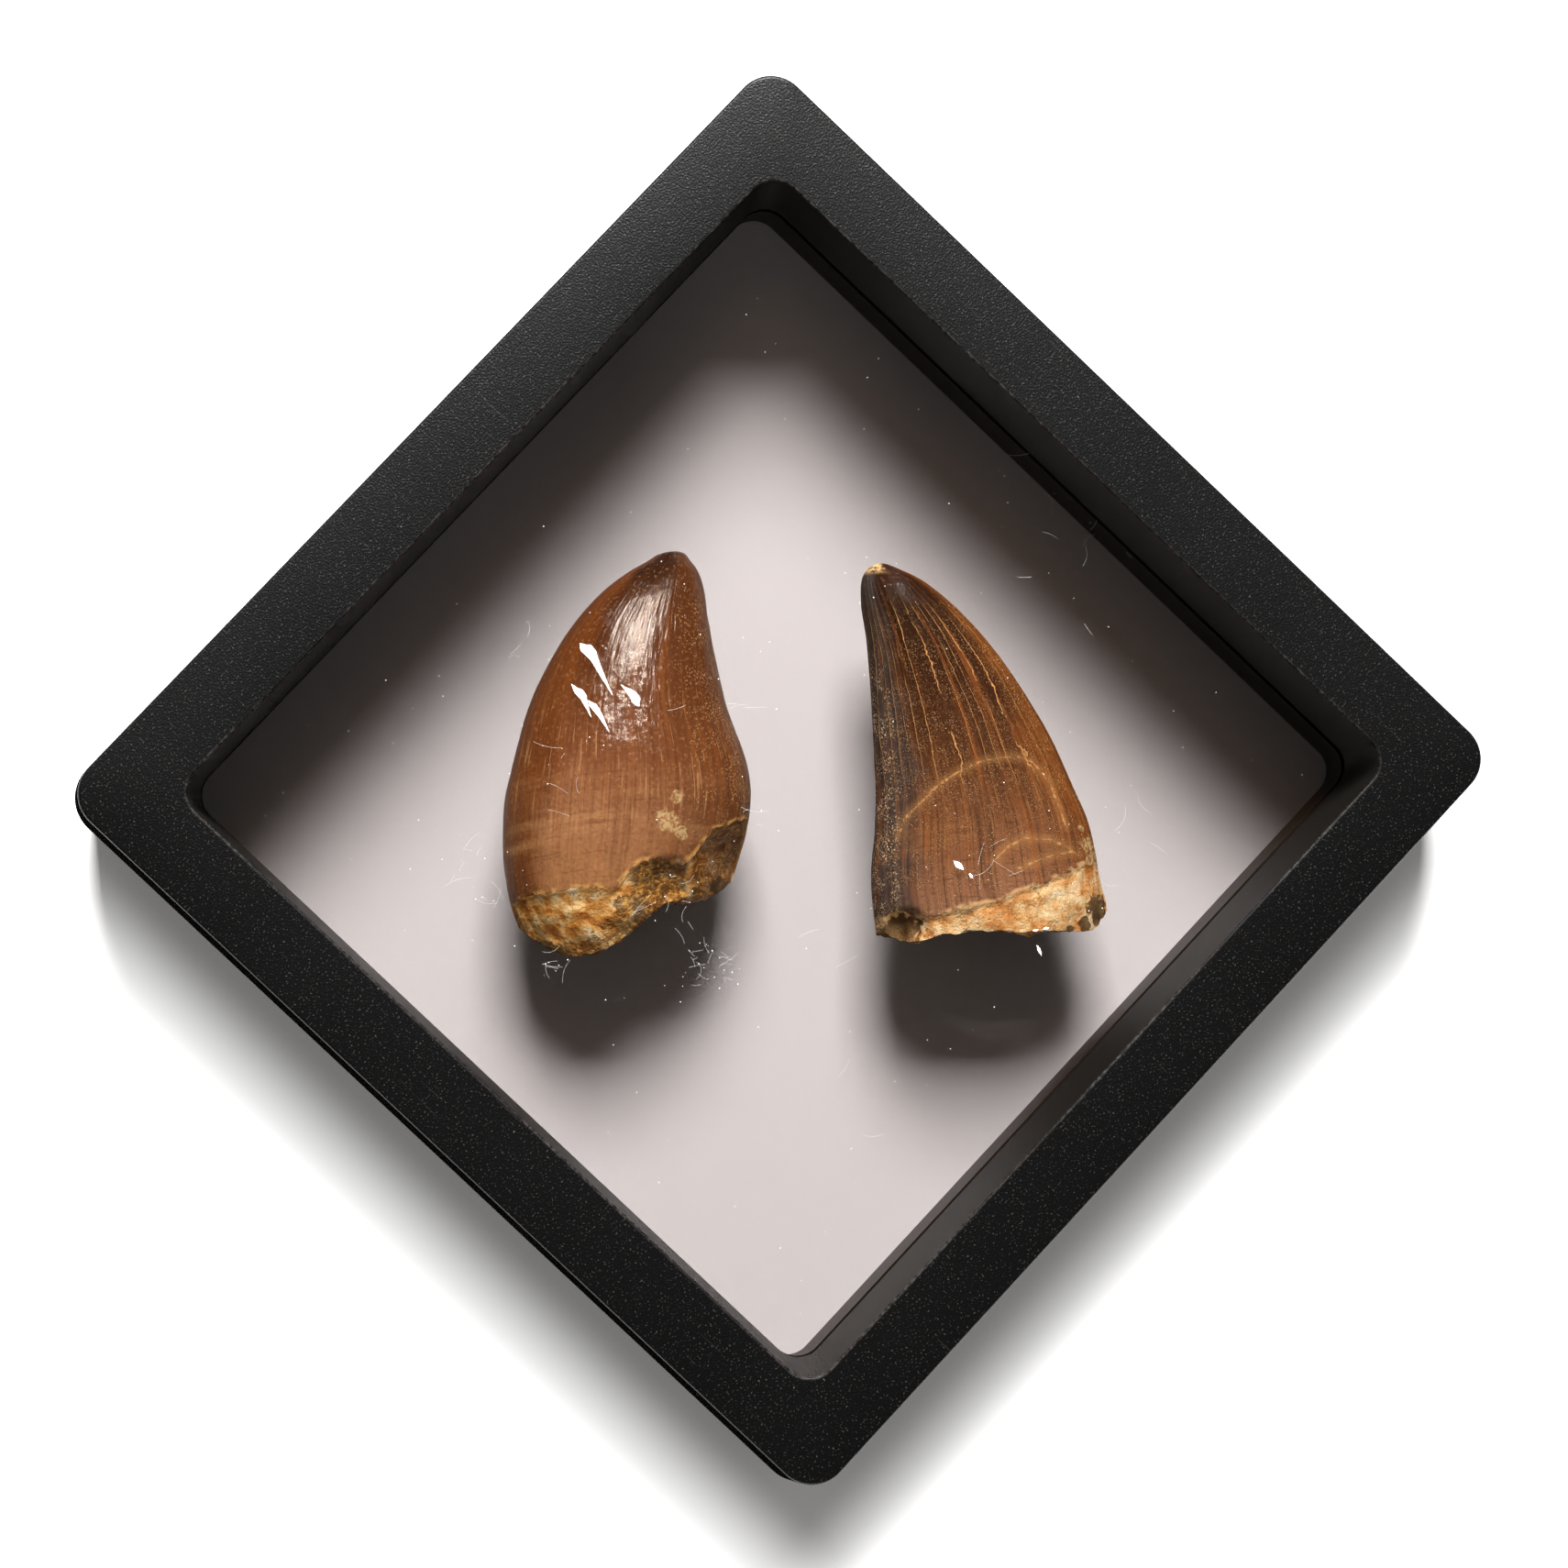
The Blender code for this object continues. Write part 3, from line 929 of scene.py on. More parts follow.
@dataclass
class FrameHalf:
    """One moulded half of the frame; sizes in mm, heights from the seam."""

    outer_at_seam: float = 44.85
    outer_at_face: float = 44.1
    outer_corner: float = 3.3
    edge_round: float = 0.3
    opening_at_face: float = 37.33
    opening_at_seam: float = 36.75
    opening_corner: float = 2.45
    rim_round: float = 0.16
    recess_half: float = 40.75
    recess_corner: float = 1.0
    seam_round: float = 0.12
    half_gap: float = 0.02
    ledge: float = 0.65
    face: float = 10.0
    corner_steps: int = 14
    edge_steps: int = 6
    wall_loops: int = 4

    def profile(self) -> list[tuple[float, ...]]:
        """List the loops round the section.

        Returns:
            Half width, corner radius, height, grain and wear of each loop.
        """
        seam, corner, window = self.outer_at_seam, self.outer_corner, self.opening_corner
        fillet = self.seam_round
        loops = [
            (seam - fillet, corner + 0.2, self.half_gap, 1.0, 0.0),
            (seam - fillet * 0.3, corner + 0.27, self.half_gap + fillet / 3, 1.0, 0.0),
            (seam, corner + 0.3, self.half_gap + fillet, 1.0, 0.0),
            (self.outer_at_face + 0.03, corner, self.face - self.edge_round - 0.4, 1.0, 0.0),
        ]
        for step in range(self.edge_steps + 1):
            turn = math.radians(90) * step / self.edge_steps
            inset = self.edge_round * (1 - math.cos(turn))
            height = self.face - self.edge_round * (1 - math.sin(turn))
            loops.append((self.outer_at_face - inset, corner - inset / 2, height, 1.0, 0.0))
        guard = self.rim_round + 0.12
        loops.append((self.opening_at_face + guard, window + guard, self.face, 1.0, 0.0))
        for step in range(self.edge_steps):
            turn = math.radians(90) * step / (self.edge_steps - 1)
            inset = self.rim_round * (1 - math.sin(turn))
            height = self.face - self.rim_round * (1 - math.cos(turn))
            loops.append((self.opening_at_face + inset, window + inset, height, 0.5, 1.0))
        loops.append((self.opening_at_face - 0.02, window, self.face - 0.4, 0.0, 0.0))
        loops.append((self.opening_at_seam, window, self.ledge, 0.0, 0.0))
        loops.append((self.recess_half, self.recess_corner, self.ledge, 0.0, 0.0))
        loops.append((self.recess_half, self.recess_corner, self.half_gap, 0.0, 0.0))
        return loops

    def outline(self, half: float, radius: float) -> list[Vector]:
        """List the points of a square with round corners.

        Args:
            half: Half its width.
            radius: Radius of its corners.

        Returns:
            Points, anticlockwise.
        """
        points = []
        centre = Vector((half - radius, half - radius))
        for corner in range(4):
            turned = Matrix.Rotation(math.radians(90) * corner, 2)
            for step in range(self.corner_steps + 1):
                turn = math.radians(90) * step / self.corner_steps
                points.append(turned @ (centre + Vector((math.cos(turn), math.sin(turn))) * radius))
        return points

    def build(self, name: str, side: int, material: Material, wall: Material) -> Piece:
        """Model the half.

        Args:
            name: The piece's name.
            side: 1 for the front half, -1 for the back half.
            material: Its finish.
            wall: The outer wall's finish.

        Returns:
            The piece.
        """
        bm = bmesh.new()
        count = 4 * (self.corner_steps + 1)
        bmesh.ops.create_circle(bm, segments=count, radius=1.0, cap_ends=False)
        mark = bm.verts.layers.float_vector.new("zone")

        def heading(co: Sequence[float]) -> float:
            return math.atan2(co[1], co[0]) % (2 * math.pi)

        loop = list(bm.verts)
        edges = first_edges = list(bm.edges)
        for number, (half, radius, height, grain, wear) in enumerate(self.profile()):
            if number:
                grown = bmesh.ops.extrude_edge_only(bm, edges=edges)["geom"]
                loop = [g for g in grown if isinstance(g, bmesh.types.BMVert)]
                edges = [g for g in grown if isinstance(g, bmesh.types.BMEdge)]
                edges = [e for e in edges if all(v in loop for v in e.verts)]
                for fresh in grown:
                    if isinstance(fresh, bmesh.types.BMFace):
                        fresh.material_index = int(number <= self.wall_loops)
            outline = sorted(self.outline(half, radius), key=heading)
            for vert, (x, y) in zip(sorted(loop, key=lambda v: heading(v.co)), outline):
                vert.co = Vector((x, y, SEAM + side * height)) * MM
                vert[mark] = Vector((grain, wear, 0.0))
        bmesh.ops.bridge_loops(bm, edges=edges + first_edges)
        piece = add_piece(name, bm, material, 40)
        piece.data.materials.append(wall)
        return piece


# Teeth


@dataclass(frozen=True)
class ToothSizes:
    """One tooth's measures in mm.

    Sides give the depth below the tip, then the left and right edges. The base gives
    its level for each side from -1 to 1. The break line and arcs are places across and
    up. A dent has a place, a radius and a depth. Flatness is thickness over width.
    """

    tip_up: float
    sides: Points
    base: Points
    break_line: Points
    broken_step: float
    broken_slope: float
    broken_lumps: float
    flatness: tuple[float, float]
    bow: float
    ridges: int
    ridge_height: float
    swell: float
    seed: float
    arcs: tuple[Points, ...] = ()
    dents: Points = ()


@dataclass
class Tooth:
    """A tooth crown modelled from a sphere whose rows run from tip to broken base.

    Lengths are in mm. A swell is the length of one wave of a noise and a wander is how
    far it moves the surface.
    """

    sizes: ToothSizes
    around: int = 288
    down: int = 250
    base_rows: int = 40
    bow_length: float = 22.0
    base_hollow: float = 1.6
    crowding: float = 1.4
    edge_swell: float = 1.7
    edge_wander: float = 0.28
    body_swell: float = 2.6
    break_swell: float = 1.1
    break_wander: float = 0.3
    facet_swell: float = 2.4
    lump_swell: float = 1.9
    lump_wander: float = 0.75
    crumb_swell: float = 1.1
    no_arc: float = 9.0
    left_of: Callable = field(init=False)
    right_of: Callable = field(init=False)
    base_of: Callable = field(init=False)
    break_of: Callable = field(init=False)

    def __post_init__(self) -> None:
        """Prepare the outline curves."""
        roots = [math.sqrt(depth) for depth, _, _ in self.sizes.sides]
        self.left_of = curve_through(roots, [left for _, left, _ in self.sizes.sides])
        self.right_of = curve_through(roots, [right for _, _, right in self.sizes.sides])
        self.base_of = curve_through(*zip(*self.sizes.base))
        self.break_of = curve_through(*zip(*self.sizes.break_line))

    def section(self, up: np.ndarray) -> tuple[np.ndarray, ...]:
        """Measure the crown at a level.

        Args:
            up: Places towards the top corner.

        Returns:
            Middle, half width, half thickness and mid height.
        """
        depth = np.maximum(self.sizes.tip_up - up, 0.0)
        root = np.sqrt(depth)
        left = self.left_of(root)
        right = self.right_of(root)
        half = (right - left) / 2
        near_tip, near_base = self.sizes.flatness
        eased = smooth_step(depth / self.bow_length)
        flat = near_tip + (near_base - near_tip) * eased
        return (left + right) / 2, half, half * flat, SEAM + self.sizes.bow * (1 - eased)

    def place(self, angle: np.ndarray, share: np.ndarray) -> dict[str, np.ndarray]:
        """Work out every point and what its finish needs to know.

        Args:
            angle: Turn round the tooth's axis.
            share: 0 at the tip, 1 at the base's edge, 2 at its middle.

        Returns:
            The numbers that the mesh carries; "place" is the points along the diagonals.
        """
        sizes = self.sizes
        side = np.cos(angle)
        face = np.sin(angle)
        ring = np.stack([side * 9, face * 9, np.full_like(side, sizes.seed)], 1)
        edge = noise_at(ring, self.edge_swell, sizes.seed) * self.edge_wander
        reach = self.base_of(side) + edge
        up = sizes.tip_up + (reach - sizes.tip_up) * np.minimum(share, 1) ** self.crowding
        middle, half, thick, centre = self.section(up)
        fall = sizes.tip_up - up
        lane = np.abs(angle) / math.pi

        out = np.stack([side / np.maximum(half, 1e-3), face / np.maximum(thick, 1e-3)], 1)
        out /= np.linalg.norm(out, axis=1, keepdims=True)
        track = np.stack([lane * 9, fall * 0.16, face], 1)
        sway = 0.02 * np.sin(lane * 21 + sizes.seed) + noise_at(track, 1.0, 4.0, 3) * 0.016
        phase = (lane + sway) * sizes.ridges
        ridge = (1 - np.abs(np.sin(phase * math.pi))) * sizes.ridge_height * smooth_step(fall / 4)
        ridge *= np.where(face > 0, 1.0, 0.7)
        stretched = np.stack([side * half, fall * 0.28, face * thick], 1)
        swell = noise_at(stretched, self.body_swell, sizes.seed + 5, 3) * sizes.swell
        swell *= smooth_step(fall / 5)
        rise = ridge + swell
        across = middle + half * side + out[:, 0] * rise
        height = centre + thick * face + out[:, 1] * rise

        # Below the break line the front has come away in steps
        apart = distance_to(across, up, sizes.break_line)
        below = np.where(up > self.break_of(across), apart, -apart)
        track = np.stack([across, up, height * 0.3], 1)
        signed = below + noise_at(track, self.break_swell, 2.0, 4) * self.break_wander
        front = smooth_step(face * 4 + 0.3)
        gone = np.clip(-signed, 0, None)
        spot = np.stack([across, up, height], 1)
        facets = noise_at(spot, self.facet_swell, sizes.seed, 2)
        facets = np.round(facets * 5) / 5 * 0.6 + facets * 0.4
        drop = sizes.broken_step * smooth_step(gone / 0.22)
        drop = drop + sizes.broken_slope * np.clip(-below, 0, None)
        drop = (drop + facets * sizes.broken_lumps * smooth_step(gone / 0.8)) * front
        for centre_across, centre_up, radius, depth in sizes.dents:
            apart = np.hypot(across - centre_across, up - centre_up) / radius
            drop = drop + depth * front * smooth_step(1.4 - 1.4 * apart)
        height = height - np.clip(drop, 0, None)

        inward = np.maximum(share - 1, 0)
        across = across + (middle - across) * inward
        height = height + (centre - height) * inward
        up = up + (float(self.base_of(0.0)) - up) * inward
        up = up + self.base_hollow * smooth_step(inward * 2)
        spot = np.stack([across, up, height], 1)
        lumps = noise_at(spot, self.lump_swell, sizes.seed + 9, 5)
        under = smooth_step(inward * 8)
        up = up + lumps * self.lump_wander * under
        bare = np.maximum(smooth_step(gone / 0.3) * front, under)
        crumbs = noise_at(spot, self.crumb_swell, sizes.seed + 2, 4) * (0.05 + 0.07 * under)
        height = height + crumbs * bare * np.sign(face)

        signed = np.where(front > 0.4, signed, 6 * (1 - share) - 0.05)
        signed = np.where(inward > 0, -1 - 4 * inward, signed)
        arcs = np.full_like(across, self.no_arc)
        for line in sizes.arcs:
            arcs = np.minimum(arcs, distance_to(across, up, line))
        arcs = np.where(face > 0, arcs, self.no_arc)
        crest = (phase - np.round(phase)) * half * math.pi / max(sizes.ridges, 1)
        place = np.stack([across, up, height], 1)
        return {
            "place": place,
            "grain": np.stack([lane * 28, fall, face * 3], 1),
            "site": np.stack([side, fall, smooth_step(face * 3)], 1),
            "marks": np.stack([signed, arcs, crest], 1),
        }

    def build(self, name: str, material: Material) -> Piece:
        """Model the tooth.

        Args:
            name: The piece's name.
            material: Its finish.

        Returns:
            The piece.
        """
        rows = self.down + self.base_rows
        bm = bmesh.new()
        bmesh.ops.create_uvsphere(bm, u_segments=self.around, v_segments=rows, radius=1.0)
        ball = np.array([v.co for v in bm.verts])
        row = np.round(np.arccos(np.clip(ball[:, 2], -1, 1)) / math.pi * rows)
        share = np.where(row <= self.down, row / self.down, 1 + (row - self.down) / self.base_rows)
        values = self.place(np.arctan2(ball[:, 1], ball[:, 0]), share)
        points = values["place"]
        x, y = to_row(points[:, 0], points[:, 1])
        for vert, co in zip(bm.verts, np.stack([x, y, points[:, 2]], 1) * MM):
            vert.co = co
        piece = add_piece(name, bm, material, 60)
        for key, rows_of in values.items():
            carry(piece, key, rows_of)
        return piece


# Films


@dataclass
class Film:
    """A stretched film that rests on the teeth."""

    half: float = 39.9
    free: float = 36.9
    cells: int = 176
    thick: float = 0.05
    from_seam: float = 0.16
    clearance: float = 0.1
    sweeps: int = 500
    easings: int = 16
    stand: np.ndarray = field(init=False)
    calm: np.ndarray = field(init=False)

    def heights(self, teeth: Sequence[Piece], side: int) -> np.ndarray:
        """Let the sheet settle over the teeth.

        Args:
            teeth: Pieces it rests on.
            side: 1 for the front film, -1 for the back one.

        Returns:
            How far each grid point stands off the seam, in mm.
        """
        step = 2 * self.half / self.cells
        need = np.zeros((self.cells + 1, self.cells + 1))
        for tooth in teeth:
            co = np.empty(len(tooth.data.vertices) * 3)
            tooth.data.vertices.foreach_get("co", co)
            co = co.reshape(-1, 3) / MM
            rise = (co[:, 2] - SEAM) * side + self.clearance
            for shift_x in (0, 1):
                for shift_y in (0, 1):
                    i = np.floor((co[:, 0] + self.half) / step).astype(int) + shift_x
                    j = np.floor((co[:, 1] + self.half) / step).astype(int) + shift_y
                    np.maximum.at(need, (i, j), rise)
        need = np.maximum(need - self.from_seam, 0)
        lines = np.linspace(-self.half, self.half, self.cells + 1)
        held = (np.abs(lines)[:, None] > self.free) | (np.abs(lines)[None, :] > self.free)
        height = need[::4, ::4].copy()
        for size in (4, 2, 1):
            floor = need if size == 1 else need[::size, ::size]
            grip = held[::size, ::size]
            for _ in range(self.sweeps):
                height[1:-1, 1:-1] = around_each(height)
                height = np.maximum(np.where(grip, 0, height), floor)
            if size > 1:
                height = np.repeat(np.repeat(height, 2, 0), 2, 1)[:-1, :-1]
        return height

    def build(self, name: str, side: int, teeth: Sequence[Piece], material: Material) -> Piece:
        """Model the film and keep its heights.

        Args:
            name: The piece's name.
            side: 1 for the front film, -1 for the back one.
            teeth: Pieces it rests on.
            material: Its finish.

        Returns:
            The piece.
        """
        height = self.heights(teeth, side)
        self.stand = self.from_seam + height
        self.calm = self.stand.copy()
        for _ in range(self.easings):
            self.calm[1:-1, 1:-1] = (self.calm[1:-1, 1:-1] + around_each(self.calm)) / 2
        bm = bmesh.new()
        bmesh.ops.create_grid(bm, x_segments=self.cells, y_segments=self.cells, size=self.half)
        flat = np.array([v.co for v in bm.verts])
        i, j = (np.round((flat[:, k] / self.half + 1) / 2 * self.cells).astype(int) for k in (0, 1))
        z = SEAM + side * self.stand[i, j]
        for vert, co in zip(bm.verts, np.stack([flat[:, 0], flat[:, 1], z], 1) * MM):
            vert.co = co
        grown = bmesh.ops.extrude_face_region(bm, geom=bm.faces)["geom"]
        fresh = [g for g in grown if isinstance(g, bmesh.types.BMVert)]
        bmesh.ops.translate(bm, verts=fresh, vec=(0, 0, side * self.thick * MM))
        return add_piece(name, bm, material, 60)

    def top(self, across: np.ndarray, up: np.ndarray) -> np.ndarray:
        """Read how high the front film's upper face stands, with its small kinks eased.

        Args:
            across: Places to the right, in mm.
            up: Places towards the top corner, in mm.

        Returns:
            Heights above the floor, in mm.
        """
        x, y = to_row(across, up)
        at_x = np.clip((x / self.half + 1) / 2 * self.cells, 0, self.cells - 1e-6)
        at_y = np.clip((y / self.half + 1) / 2 * self.cells, 0, self.cells - 1e-6)
        i, j = at_x.astype(int), at_y.astype(int)
        f, g = at_x - i, at_y - j
        near = self.calm[i, j] * (1 - f) + self.calm[i + 1, j] * f
        far = self.calm[i, j + 1] * (1 - f) + self.calm[i + 1, j + 1] * f
        return SEAM + self.thick + near * (1 - g) + far * g


@dataclass(frozen=True)
class Crease:
    """A small fold in the film, tilted so that it mirrors the lamp; sizes in mm."""

    line: Points
    width: float
    widest_at: float
    along: int = 28
    wide: int = 10
    short: float = 1.6
    end_share: float = 0.06
    lift: float = 0.04
    reading_step: float = 0.4

    def tilt(
        self, film: Film, middle: np.ndarray, normal: np.ndarray, way: np.ndarray
    ) -> np.ndarray:
        """Measure how much the fold has to rise one way, beyond the film's own slope.

        Args:
            film: The film it stands on.
            middle: Places across and up.
            normal: Direction that the fold has to face at each of them.
            way: Direction across and up.

        Returns:
            The extra slopes.
        """
        way_x, way_y = way[0] + way[1], way[1] - way[0]
        wanted = -(normal[:, 0] * way_x + normal[:, 1] * way_y) / math.sqrt(2) / normal[:, 2]
        ahead = film.top(*(middle + way * self.reading_step).T)
        behind = film.top(*(middle - way * self.reading_step).T)
        return wanted - (ahead - behind) / (2 * self.reading_step)

    def build(self, bm: Shape, film: Film, lamp: Place, eye: Place) -> None:
        """Add the fold to a bmesh.

        Args:
            bm: Geometry to add to.
            film: The film it stands on.
            lamp: Where the lamp is, in metres.
            eye: Where the camera is, in metres.
        """
        cells = {"x_segments": self.along, "y_segments": self.wide}
        made = bmesh.ops.create_grid(bm, size=1.0, **cells)["verts"]
        flat = np.array([v.co for v in made])
        share = (flat[:, 0] + 1) / 2
        points = np.array(self.line)
        steps = np.linspace(0, 1, len(points))
        middle = np.stack([np.interp(share, steps, points[:, k]) for k in (0, 1)], 1)
        run = points[-1] - points[0]
        length = float(np.linalg.norm(run))
        run = run / length
        cross = np.array([-run[1], run[0]])
        peak = np.minimum(share / self.widest_at, (1 - share) / (1 - self.widest_at))
        swell = np.sin(peak * math.pi / 2) ** 1.3
        half = self.width * (self.end_share + (1 - self.end_share) * swell)
        spot = middle + cross * (flat[:, 1] * half)[:, None]
        x, y = to_row(middle[:, 0], middle[:, 1])
        here = np.stack([x, y, film.top(*middle.T)], 1)
        toward = [np.array(place) / MM - here for place in (lamp, eye)]
        halfway = sum(v / np.linalg.norm(v, axis=1, keepdims=True) for v in toward)
        slope = self.tilt(film, middle, halfway, cross)
        rise = slope * flat[:, 1] * half + np.max(np.abs(slope) * half)
        if length < self.short:
            lean = self.tilt(film, middle, halfway, run) * length / 2
            rise = rise + lean * flat[:, 0] + np.max(np.abs(lean))
        rise = self.lift + rise * smooth_step((1 - np.abs(flat[:, 1])) / 0.2)
        x, y = to_row(spot[:, 0], spot[:, 1])
        for vert, co in zip(made, np.stack([x, y, film.top(*spot.T) + rise], 1) * MM):
            vert.co = co


@dataclass(frozen=True)
class Lint:
    """Fibres and dust that lie on the film; sizes in mm."""

    fibre_radius: float = 0.007
    fibre_length: tuple[float, float] = (0.4, 2.6)
    speck_radius: tuple[float, float] = (0.02, 0.07)
    specks: int = 200
    scatter: float = 34.0
    seed: int = 5

    def fibre(self, bm: Shape, film: Film, rng: Draws, at: np.ndarray) -> None:
        """Add one bent fibre.

        Args:
            bm: Geometry to add to.
            film: The film it lies on.
            rng: Random numbers.
            at: Where its middle is, along the diagonals.
        """
        length = rng.uniform(*self.fibre_length)
        turn = rng.uniform(0, math.pi)
        bend = rng.normal(0, 0.2)
        made = bmesh.ops.create_grid(bm, x_segments=9, y_segments=5, size=1.0)["verts"]
        flat = np.array([v.co for v in made])
        run = flat[:, 0] * length / 2
        heading = turn + bend * flat[:, 0]
        round_it = flat[:, 1] * math.pi
        aside = np.cos(round_it) * self.fibre_radius
        across = at[0] + run * np.cos(heading) - aside * np.sin(heading)
        up = at[1] + run * np.sin(heading) + aside * np.cos(heading)
        lift = (np.sin(round_it) + 1.3) * self.fibre_radius
        x, y = to_row(across, up)
        for vert, co in zip(made, np.stack([x, y, film.top(across, up) + lift], 1) * MM):
            vert.co = co

    def speck(self, bm: Shape, film: Film, rng: Draws, at: np.ndarray) -> None:
        """Add one grain of dust.

        Args:
            bm: Geometry to add to.
            film: The film it lies on.
            rng: Random numbers.
            at: Where it is, along the diagonals.
        """
        x, y = to_row(*at)
        radius = rng.uniform(*self.speck_radius)
        spot = Vector((x, y, float(film.top(at[:1], at[1:])[0]) + radius * 0.5)) * MM
        place = Matrix.Translation(spot)
        bmesh.ops.create_icosphere(bm, subdivisions=1, radius=radius * MM, matrix=place)

    def build(self, name: str, film: Film, material: Material) -> Piece:
        """Model all the lint as one piece.

        Args:
            name: The piece's name.
            film: The film it lies on.
            material: Its finish.

        Returns:
            The piece.
        """
        rng = np.random.default_rng(self.seed)
        bm = bmesh.new()
        for across, up, spread, count in FIBRE_PLACES:
            for _ in range(count):
                self.fibre(bm, film, rng, np.array([across, up]) + rng.normal(0, spread / 2, 2))
                self.speck(bm, film, rng, np.array([across, up]) + rng.normal(0, spread / 2, 2))
        for _ in range(self.specks):
            x, y = rng.uniform(-self.scatter, self.scatter, 2)
            self.speck(bm, film, rng, np.array(to_diagonal(x, y)))
        return add_piece(name, bm, material, 180)


# Stage


@dataclass
class Studio:
    """Floor, lamps and camera; the camera was solved from the frame's corners."""

    lamp_at: Place = (0.398, 0.398, 0.563)
    lamp_size: float = 0.31
    lamp_watts: float = 25.4
    fill_at: Place = (-0.7, -0.7, 0.22)
    fill_size: float = 0.5
    fill_watts: float = 4.0
    room_light: float = 0.2
    floor_half: float = 2.5
    eye: Place = (-0.03509, 0.01604, 0.36637)
    forward: Place = (0.09784, -0.04598, -0.99414)
    upright: Place = (0.72503, 0.68758, 0.03955)
    lens_mm: float = 92.63
    sensor_mm: float = 36.0
    clip_start: float = 0.01

    def floor(self, material: Material) -> Piece:
        """Lay the card that the frame lies on.

        Args:
            material: Its finish.

        Returns:
            The floor.
        """
        bm = bmesh.new()
        bmesh.ops.create_grid(bm, x_segments=1, y_segments=1, size=self.floor_half)
        return add_piece("floor", bm, material, 60)

    def lamp(self, name: str, place: Place, size: float, watts: float) -> None:
        """Place a soft square lamp that faces the frame.

        Args:
            name: The lamp's name.
            place: Where it stands, in metres.
            size: Its side.
            watts: Its power.
        """
        data = bpy.data.lights.new(name, "AREA")
        data.shape = "SQUARE"
        data.size = size
        data.energy = watts
        lamp = bpy.data.objects.new(name, data)
        lamp.location = place
        lamp.rotation_euler = Vector(place).to_track_quat("Z", "Y").to_euler()
        bpy.context.scene.collection.objects.link(lamp)

    def light(self) -> None:
        """Place the window lamp, a low fill and the room's dim light."""
        self.lamp("window_lamp", self.lamp_at, self.lamp_size, self.lamp_watts)
        self.lamp("low_fill", self.fill_at, self.fill_size, self.fill_watts)
        world = bpy.data.worlds.new("dim_room")
        world.use_nodes = True
        ground = world.node_tree.nodes["Background"]
        ground.inputs[0].default_value = linear("#ffffff")
        ground.inputs[1].default_value = self.room_light
        bpy.context.scene.world = world

    def camera(self) -> None:
        """Stand where the photo was taken from."""
        data = bpy.data.cameras.new("photo_view")
        data.lens = self.lens_mm
        data.sensor_width = self.sensor_mm
        data.clip_start = self.clip_start
        camera = bpy.data.objects.new("photo_view", data)
        forward = Vector(self.forward).normalized()
        right = forward.cross(Vector(self.upright)).normalized()
        top = right.cross(forward)
        turned = Matrix((right, top, -forward)).transposed().to_4x4()
        camera.matrix_world = Matrix.Translation(self.eye) @ turned
        bpy.context.scene.collection.objects.link(camera)
        bpy.context.scene.camera = camera


LEFT = ToothSizes(
    tip_up=20.7,
    sides=(
        (0.0, -8.72, -8.72), (0.25, -10.2, -7.85), (0.85, -11.25, -7.4), (1.7, -12.8, -6.8),
        (3.3, -15.05, -6.3), (6.5, -18.1, -5.9), (9.9, -20.35, -5.4), (14.8, -22.6, -4.35),
        (19.3, -23.9, -2.9), (21.0, -24.35, -2.65), (24.4, -24.7, -2.95), (28.0, -24.7, -4.05),
        (32.2, -23.9, -5.5), (36.5, -21.9, -7.2),
    ),
    base=(
        (-1.0, -12.4), (-0.9, -13.5), (-0.58, -14.95), (-0.1, -14.1), (0.25, -11.84),
        (0.48, -10.3), (0.82, -10.2), (1.0, -8.8),
    ),
    break_line=(
        (-25.0, -10.6), (-23.6, -10.1), (-22.5, -9.6), (-20.7, -9.4), (-18.8, -9.2),
        (-17.2, -9.1), (-15.6, -9.2), (-14.9, -8.8), (-14.1, -7.7), (-13.1, -7.1), (-11.7, -6.6),
        (-10.5, -7.1), (-9.3, -7.5), (-8.4, -6.6), (-7.5, -5.4), (-6.9, -4.6), (-6.2, -4.2),
        (-5.3, -3.9), (-2.8, -3.3),
    ),
    broken_step=0.2,
    broken_slope=0.3,
    broken_lumps=0.28,
    flatness=(0.80, 0.70),
    bow=-1.0,
    ridges=9,
    ridge_height=0.0,
    swell=0.1,
    seed=3.7,
    dents=((-10.6, -8.8, 2.6, 0.9), (-5.2, -6.6, 2.6, 0.8)),
)
